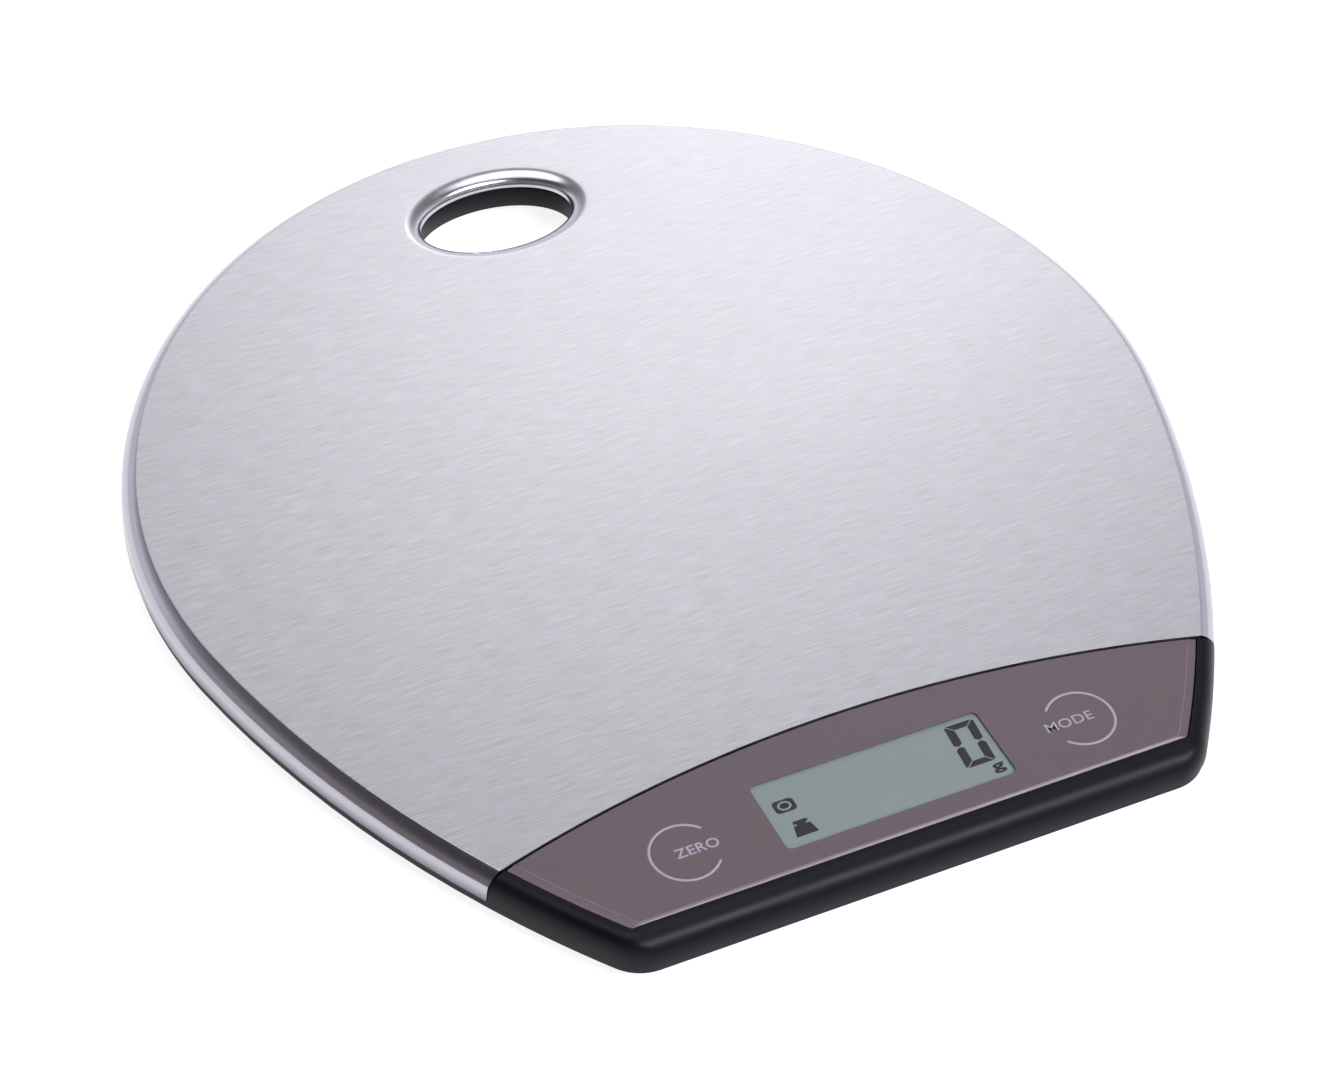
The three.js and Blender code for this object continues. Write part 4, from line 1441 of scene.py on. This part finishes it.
        middle = [
            blank.bm.edges.new((start[-1], mouth[0])),
            blank.bm.edges.new((mouth[-1], hole[0])),
            blank.bm.edges.new((hole[-1], start[0])),
        ]
        rim = [e for v in (*start, *mouth, *hole, *self.mouths) for e in v.link_edges
               if all(abs(w.co.z - floor) < 1e-5 for w in e.verts)]
        bmesh.ops.triangle_fill(blank.bm, edges=list(dict.fromkeys([*rim, *middle])), use_beauty=True,
                                use_dissolve=False, normal=(0, 0, -1))
        blank.mirrored()
        bmesh.ops.recalc_face_normals(blank.bm, faces=blank.bm.faces)
        lowest = min(blank.bm.faces, key=lambda f: f.calc_center_median().z)
        if lowest.normal.z > 0:
            bmesh.ops.reverse_faces(blank.bm, faces=blank.bm.faces)
        base = blank.finished("base_shell", sharp=30.0)
        dress(base, self.finishes.base)
        thickened(base, 0.8)
        settle(base, BODY, "base_plastic", "base_cover")
        return base


@dataclass
class Foot:
    """One load-sensing foot: a grooved rubber pad in a plastic carrier.

    Attributes:
        finishes: The finishes.
        name: Which foot it is.
        flat: Radius of the pad's standing face.
    """

    finishes: Finishes
    name: str
    flat: float = 6.4

    def _middle(self) -> Point:
        """Place of the foot's axis."""
        low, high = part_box(f"foot_pad_{self.name}")
        return ((low[0] + high[0]) / 2 / MM, (low[1] + high[1]) / 2 / MM)

    def build(self) -> None:
        """Builds, dresses and settles the pad and the carrier."""
        x, y = self._middle()
        pad_low, pad_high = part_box(f"foot_pad_{self.name}")
        top, reach = pad_high[2] / MM, (pad_high[0] - pad_low[0]) / 2 / MM
        bottom = pad_low[2] / MM
        groove = 0.35
        profile = [(0.0, bottom + 0.45), (2.0, bottom + 0.45), (2.3, bottom + 0.12), (2.5, bottom), (4.1, bottom),
                   (4.3, bottom + 0.1), (4.4, bottom + groove), (4.7, bottom + groove), (4.8, bottom + 0.1),
                   (5.0, bottom), (self.flat, bottom), (6.9, bottom + 0.07), (7.4, bottom + 0.32),
                   (7.75, bottom + 0.75), (reach, top - 0.15), (reach - 0.1, top), (0.0, top)]
        pad = turned(profile, x, y).finished(f"foot_rubber_{self.name}", sharp=50.0)
        dress(pad, self.finishes.rubber)
        settle(pad, f"foot_{self.name}", "foot_rubber", f"foot_pad_{self.name}")

        low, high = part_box(f"foot_carrier_{self.name}")
        under, over, wide = low[2] / MM, high[2] / MM, (high[0] - low[0]) / 2 / MM
        outline = [(0.0, under), (wide - 0.3, under), (wide, under + 0.25), (wide, under + 1.5),
                   (wide - 0.5, under + 2.0), (4.4, under + 2.1), (4.0, under + 2.4), (4.0, over - 0.2),
                   (3.8, over), (0.0, over)]
        carrier = turned(outline, x, y).finished(f"foot_cup_{self.name}", sharp=40.0)
        dress(carrier, self.finishes.base)
        settle(carrier, f"foot_{self.name}", "base_plastic", f"foot_carrier_{self.name}")


@dataclass
class HousingScrew:
    """A cross-recessed screw, head down in its well.

    Attributes:
        finishes: The finishes.
        name: Which screw it is.
    """

    finishes: Finishes
    name: str

    def build(self) -> None:
        """Builds, dresses and settles the screw."""
        low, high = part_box(f"housing_screw_{self.name}")
        x, y = (low[0] + high[0]) / 2 / MM, (low[1] + high[1]) / 2 / MM
        bottom, top = low[2] / MM, high[2] / MM
        head = (high[0] - low[0]) / 2 / MM
        arm, slot, depth = head * 0.58, 0.27, 0.55
        blank = Blank()
        cross = [(arm, -slot), (arm, slot), (slot, slot), (slot, arm), (-slot, arm), (-slot, slot),
                 (-arm, slot), (-arm, -slot), (-slot, -slot), (-slot, -arm), (slot, -arm), (slot, -slot)]
        ring = blank.chain(cross, bottom, closed=True)
        steps = 36
        around = [(math.cos(2 * math.pi * i / steps), math.sin(2 * math.pi * i / steps)) for i in range(steps)]
        rim = blank.chain([(c * head * 0.72, s * head * 0.72) for c, s in around], bottom, closed=True)
        edges = list(dict.fromkeys(e for v in (*ring, *rim) for e in v.link_edges))
        bmesh.ops.triangle_fill(blank.bm, edges=edges, use_beauty=True, use_dissolve=False, normal=(0, 0, -1))
        sunk = blank.pull(ring, [(px * 0.75, py * 0.75) for px, py in cross], bottom + depth, closed=True)
        blank.face(sunk)
        outer = rim
        for radius, z in ((0.9, 0.12), (1.0, 0.4), (1.0, 0.9)):
            outer = blank.pull(outer, [(c * head * radius, s * head * radius) for c, s in around], bottom + z, True)
        shank = 0.95
        for radius, z in ((shank, bottom + 0.9), (shank, top - 0.8), (shank * 0.3, top)):
            outer = blank.pull(outer, [(c * radius, s * radius) for c, s in around], z, True)
        blank.face(outer)
        screw = blank.outward().moved(x, y, 0.0).finished(f"screw_{self.name}", sharp=35.0)
        dress(screw, self.finishes.screw)
        settle(screw, BODY, "screw_steel", f"housing_screw_{self.name}")


@dataclass
class BatteryDoor:
    """The hinged battery door with a rounded hinge edge, pins and a finger notch.

    Attributes:
        finishes: The finishes.
        notch: Half width of the finger notch.
    """

    finishes: Finishes
    notch: float = 4.0

    def build(self) -> None:
        """Builds, dresses and settles the door."""
        low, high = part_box("battery_door")
        bottom, top = low[2] / MM, high[2] / MM
        front, rear = low[1] / MM, high[1] / MM
        pin = 0.9
        half = (high[0] - low[0]) / 2 / MM - pin
        radius = (top - bottom) / 2
        blank = Blank()
        y0 = front
        notch_arc = [(self.notch * math.sin(math.pi / 2 * i / 8), y0 + self.notch * math.cos(math.pi / 2 * i / 8))
                     for i in range(9)]
        edge = [*notch_arc, (half - 0.8, y0), (half - 0.23, y0 + 0.23), (half, y0 + 0.8), (half, rear - radius)]
        lower = blank.chain([*edge, (0.0, rear - radius)], bottom)
        blank.face(lower)
        notch_count = len(notch_arc)
        ring = blank.pull(lower[:-1], edge, bottom + 0.62)
        ledge = [(0.0, y0), *((x, y0) for x, _ in notch_arc[1:]), *edge[notch_count:]]
        ring = blank.pull(ring, ledge, bottom + 0.62)
        ring = blank.pull(ring, ledge, top)
        blank.face([*ring, blank.bm.verts.new((0.0, rear - radius, top))])
        blank.mirrored().outward()
        lowest = min(blank.bm.faces, key=lambda f: f.calc_center_median().z)
        if lowest.normal.z > 0:
            bmesh.ops.reverse_faces(blank.bm, faces=blank.bm.faces)
        for length, thick in ((2 * half, radius), (2 * (half + pin), 0.35)):
            rod = Blank()
            bmesh.ops.create_cone(rod.bm, cap_ends=True, segments=28, radius1=thick, radius2=thick, depth=length)
            bmesh.ops.rotate(rod.bm, verts=rod.bm.verts, cent=(0, 0, 0), matrix=Matrix.Rotation(math.pi / 2, 3, "Y"))
            rod.moved(0.0, rear - radius, bottom + radius)
            blank.join(rod)
        for i in range(3):
            rib = slab(rounded_box((-4.5, -0.3), (4.5, 0.3), 0.29), bottom - 0.0, bottom + 0.3)
            rib.moved(0.0, y0 + 6.2 + 1.5 * i, -0.12)
            blank.join(rib)
        door = blank.finished("battery_hatch", sharp=30.0)
        dress(door, self.finishes.base)
        settle(door, "battery_door", "base_plastic", "battery_door")


class InnerParts:
    """Gives the parts inside the body their finishes. Their shapes stay as they are."""

    def __init__(self, finishes: Finishes) -> None:
        """Says which finish each kind of part takes.

        Args:
            finishes: The finishes.
        """
        self.by_start = {
            "panel_tape": finishes.tape,
            "lcd_rear_glass": finishes.clear,
            "lcd_reflector": finishes.display,
            "lcd_frame": finishes.white,
            "lcd_connector": finishes.elastomer,
            "main_board": finishes.board,
            "controller_chip": finishes.epoxy,
            "crystal": finishes.nickel,
            "capacitor": finishes.epoxy,
            "touch_spring": finishes.spring,
            "board_screw": finishes.screw,
            "coin_cell": finishes.nickel,
            "battery_contact": finishes.spring,
            "load_cell": finishes.cell,
            "strain_gauge": finishes.gauge,
            "cell_retainer": finishes.white,
            "sensor_lead": finishes.lead,
        }

    def dress(self) -> None:
        """Dresses every frame node that has a finish here."""
        for name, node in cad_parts.items():
            for start, material in self.by_start.items():
                if name.startswith(start):
                    node.data.materials.clear()
                    node.data.materials.append(material)
                    log.info("%s is %s", name, material.name)


# ------------------------------------------------------------------ studio
@dataclass
class Softbox:
    """A square soft light that looks at the scale.

    Attributes:
        name: The light's name.
        heading: Where it stands, in degrees clockwise from straight back.
        height: Its angle above the floor, in degrees.
        distance: How far it stands from the scale, in metres.
        size: Its width and height, in metres.
        power: Its power, in watts.
        colour: Its colour.
    """

    name: str
    heading: float
    height: float
    distance: float
    size: Point
    power: float
    colour: Colour = (1.0, 1.0, 1.0)

    def build(self) -> None:
        """Sets the light up."""
        light = bpy.data.lights.new(self.name, "AREA")
        light.shape = "RECTANGLE"
        light.size, light.size_y = self.size
        light.energy = self.power
        light.color = self.colour
        lamp = bpy.data.objects.new(self.name, light)
        heading, height = math.radians(self.heading), math.radians(self.height)
        lamp.location = Vector((
            math.sin(heading) * math.cos(height), math.cos(heading) * math.cos(height), math.sin(height),
        )) * self.distance
        lamp.rotation_euler = (-lamp.location).to_track_quat("-Z", "Y").to_euler()
        bpy.context.scene.collection.objects.link(lamp)


@dataclass
class Studio:
    """A pale floor, soft light and the camera.

    Attributes:
        heading: Direction the camera looks in, clockwise from straight back, in degrees.
        pitch: How far it looks down, in degrees.
        roll: How far it leans, in degrees.
        place: Where it stands, in metres.
        lens: Focal length for a 36 mm sensor, in millimetres.
        rise: Brightness of the room by the sine of the height above the floor.
        window_heading: Heading of the bright side of the room, in degrees.
        window_height: Height of the main window's middle above the floor, in degrees.
        glow: Brightness of the window by the angle from its middle.
        turn: Brightness round the room, from the dark side at 0 to the bright side at 1.
    """

    heading: float = 27.33
    pitch: float = 44.28
    roll: float = 2.70
    place: tuple[float, float, float] = (-0.2520, -0.4919, 0.5282)
    lens: float = 98.56
    rise: tuple[Point, ...] = (
        (0.0, 0.95), (0.30, 0.95), (0.42, 0.60), (0.55, 0.38), (0.70, 0.24), (0.88, 0.16), (0.93, 2.6), (1.0, 3.4),
    )
    window_heading: float = 29.0
    window_height: float = 36.0
    glow: tuple[Point, ...] = ((0.0, 2.35), (5.0, 1.6), (10.0, 0.62), (15.0, 0.15), (22.0, 0.0), (90.0, 0.0))
    turn: tuple[Point, ...] = ((0.0, 0.26), (0.30, 0.30), (0.5, 0.62), (0.62, 1.05), (1.0, 1.0))

    def _camera(self) -> None:
        """Sets the camera up."""
        data = bpy.data.cameras.new("camera")
        data.sensor_width = 36.0
        data.sensor_fit = "HORIZONTAL"
        data.lens = self.lens
        camera = bpy.data.objects.new("camera", data)
        turn = (
            Matrix.Rotation(-math.radians(self.heading), 4, "Z")
            @ Matrix.Rotation(math.pi / 2 - math.radians(self.pitch), 4, "X")
            @ Matrix.Rotation(math.radians(self.roll), 4, "Z")
        )
        camera.matrix_world = Matrix.Translation(self.place) @ turn
        bpy.context.scene.collection.objects.link(camera)
        bpy.context.scene.camera = camera

    def _floor(self) -> None:
        """Lays the floor."""
        bm = bmesh.new()
        bmesh.ops.create_grid(bm, x_segments=1, y_segments=1, size=2.5)
        mesh = bpy.data.meshes.new("floor")
        bm.to_mesh(mesh)
        bm.free()
        floor = bpy.data.objects.new("floor", mesh)
        bpy.context.scene.collection.objects.link(floor)
        bench = NodeBench("floor_white")
        bench.set(Base_Color=(0.45, 0.45, 0.46, 1.0), Roughness=0.9, Specular_IOR_Level=0.0)
        bench.set(Emission_Color=(1.0, 1.0, 1.0, 1.0), Emission_Strength=0.86)
        dress(floor, bench.material)

    def _sky(self) -> None:
        """Lights the room: bright low behind the scale, dim overhead and in front."""
        world = bpy.data.worlds.new("room")
        bpy.context.scene.world = world
        world.use_nodes = True
        tree = world.node_tree
        ground = tree.nodes["Background"]
        coordinates = tree.nodes.new("ShaderNodeTexCoord")
        split = tree.nodes.new("ShaderNodeSeparateXYZ")
        tree.links.new(coordinates.outputs["Generated"], split.inputs["Vector"])
        rise = self._ramp(tree, self.rise, (0.98, 0.98, 1.08))
        tree.links.new(split.outputs["Z"], rise.inputs["Fac"])
        along = tree.nodes.new("ShaderNodeVectorMath")
        along.operation = "DOT_PRODUCT"
        heading = math.radians(self.window_heading)
        along.inputs[1].default_value = (math.sin(heading) / 2, math.cos(heading) / 2, 0.0)
        tree.links.new(coordinates.outputs["Generated"], along.inputs[0])
        shift = tree.nodes.new("ShaderNodeMath")
        shift.inputs[1].default_value = 0.5
        tree.links.new(along.outputs["Value"], shift.inputs[0])
        turn = self._ramp(tree, self.turn, warmth=0.12)
        tree.links.new(shift.outputs["Value"], turn.inputs["Fac"])
        both = tree.nodes.new("ShaderNodeMix")
        both.data_type = "RGBA"
        both.blend_type = "MULTIPLY"
        both.inputs["Factor"].default_value = 1.0
        tree.links.new(rise.outputs["Color"], both.inputs["A"])
        tree.links.new(turn.outputs["Color"], both.inputs["B"])
        window = self._window(tree, coordinates.outputs["Generated"])
        total = tree.nodes.new("ShaderNodeMix")
        total.data_type = "RGBA"
        total.blend_type = "ADD"
        total.inputs["Factor"].default_value = 1.0
        tree.links.new(both.outputs["Result"], total.inputs["A"])
        tree.links.new(window, total.inputs["B"])
        tree.links.new(total.outputs["Result"], ground.inputs["Color"])

    def _window(self, tree: bpy.types.NodeTree, direction: bpy.types.NodeSocket) -> bpy.types.NodeSocket:
        """Adds the soft round glow of the main window.

        Args:
            tree: The world's nodes.
            direction: The direction looked in.

        Returns:
            The glow's colour.
        """
        heading, height = math.radians(self.window_heading), math.radians(self.window_height)
        near = tree.nodes.new("ShaderNodeVectorMath")
        near.operation = "DOT_PRODUCT"
        near.inputs[1].default_value = (
            math.sin(heading) * math.cos(height), math.cos(heading) * math.cos(height), math.sin(height),
        )
        tree.links.new(direction, near.inputs[0])
        angle = tree.nodes.new("ShaderNodeMath")
        angle.operation = "ARCCOSINE"
        tree.links.new(near.outputs["Value"], angle.inputs[0])
        share = tree.nodes.new("ShaderNodeMath")
        share.operation = "DIVIDE"
        share.inputs[1].default_value = math.pi / 2
        tree.links.new(angle.outputs["Value"], share.inputs[0])
        glow = self._ramp(tree, tuple((degrees / 90, level) for degrees, level in self.glow))
        tree.links.new(share.outputs["Value"], glow.inputs["Fac"])
        return glow.outputs["Color"]

    @staticmethod
    def _ramp(tree: bpy.types.NodeTree, stops: tuple[Point, ...], tint: Colour = (1.0, 1.0, 1.0),
              warmth: float = 0.0) -> bpy.types.Node:
        """Adds a colour ramp of one tint.

        Args:
            tree: The world's nodes.
            stops: Position and brightness of each stop.
            tint: Colour that the brightness is multiplied by.
            warmth: How much warmer its dark end is.

        Returns:
            The ramp.
        """
        ramp = tree.nodes.new("ShaderNodeValToRGB")
        elements = ramp.color_ramp.elements
        elements[0].position, elements[1].position = stops[0][0], stops[-1][0]
        for position, _ in stops[1:-1]:
            elements.new(position)
        top = max(level for _, level in stops)
        for element, (_, level) in zip(elements, stops):
            warm = warmth * (1 - level / top)
            element.color = (level * tint[0] * (1 + warm), level * tint[1], level * tint[2] * (1 - warm), 1.0)
        return ramp

    def build(self) -> None:
        """Sets the whole studio up."""
        self._camera()
        self._floor()
        self._sky()
        Softbox("front", 155.0, 40.0, 1.8, (1.1, 0.26), 24.0, (0.90, 0.88, 1.0)).build()
        view = bpy.context.scene.view_settings
        view.view_transform = "Standard"
        view.look = "None"


# ------------------------------------------------------------------ assembly
FEET = ("front_left", "front_right", "rear_left", "rear_right")
SCREWS = ("front_left", "front_right", "side_left", "side_right", "rear_left", "rear_right")


def main() -> None:
    """Builds the studio and every piece in order."""
    logging.basicConfig(level=logging.INFO, format="%(name)s: %(message)s")
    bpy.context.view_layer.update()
    Studio().build()
    finishes = Finishes()
    SteelCover(finishes).build()
    Housing(finishes).build()
    ConsolePanel(finishes).build()
    Display(finishes).build()
    BaseCover(finishes).build()
    for name in FEET:
        Foot(finishes, name).build()
    for name in SCREWS:
        HousingScrew(finishes, name).build()
    BatteryDoor(finishes).build()
    InnerParts(finishes).dress()


if __name__ == "__main__":
    main()
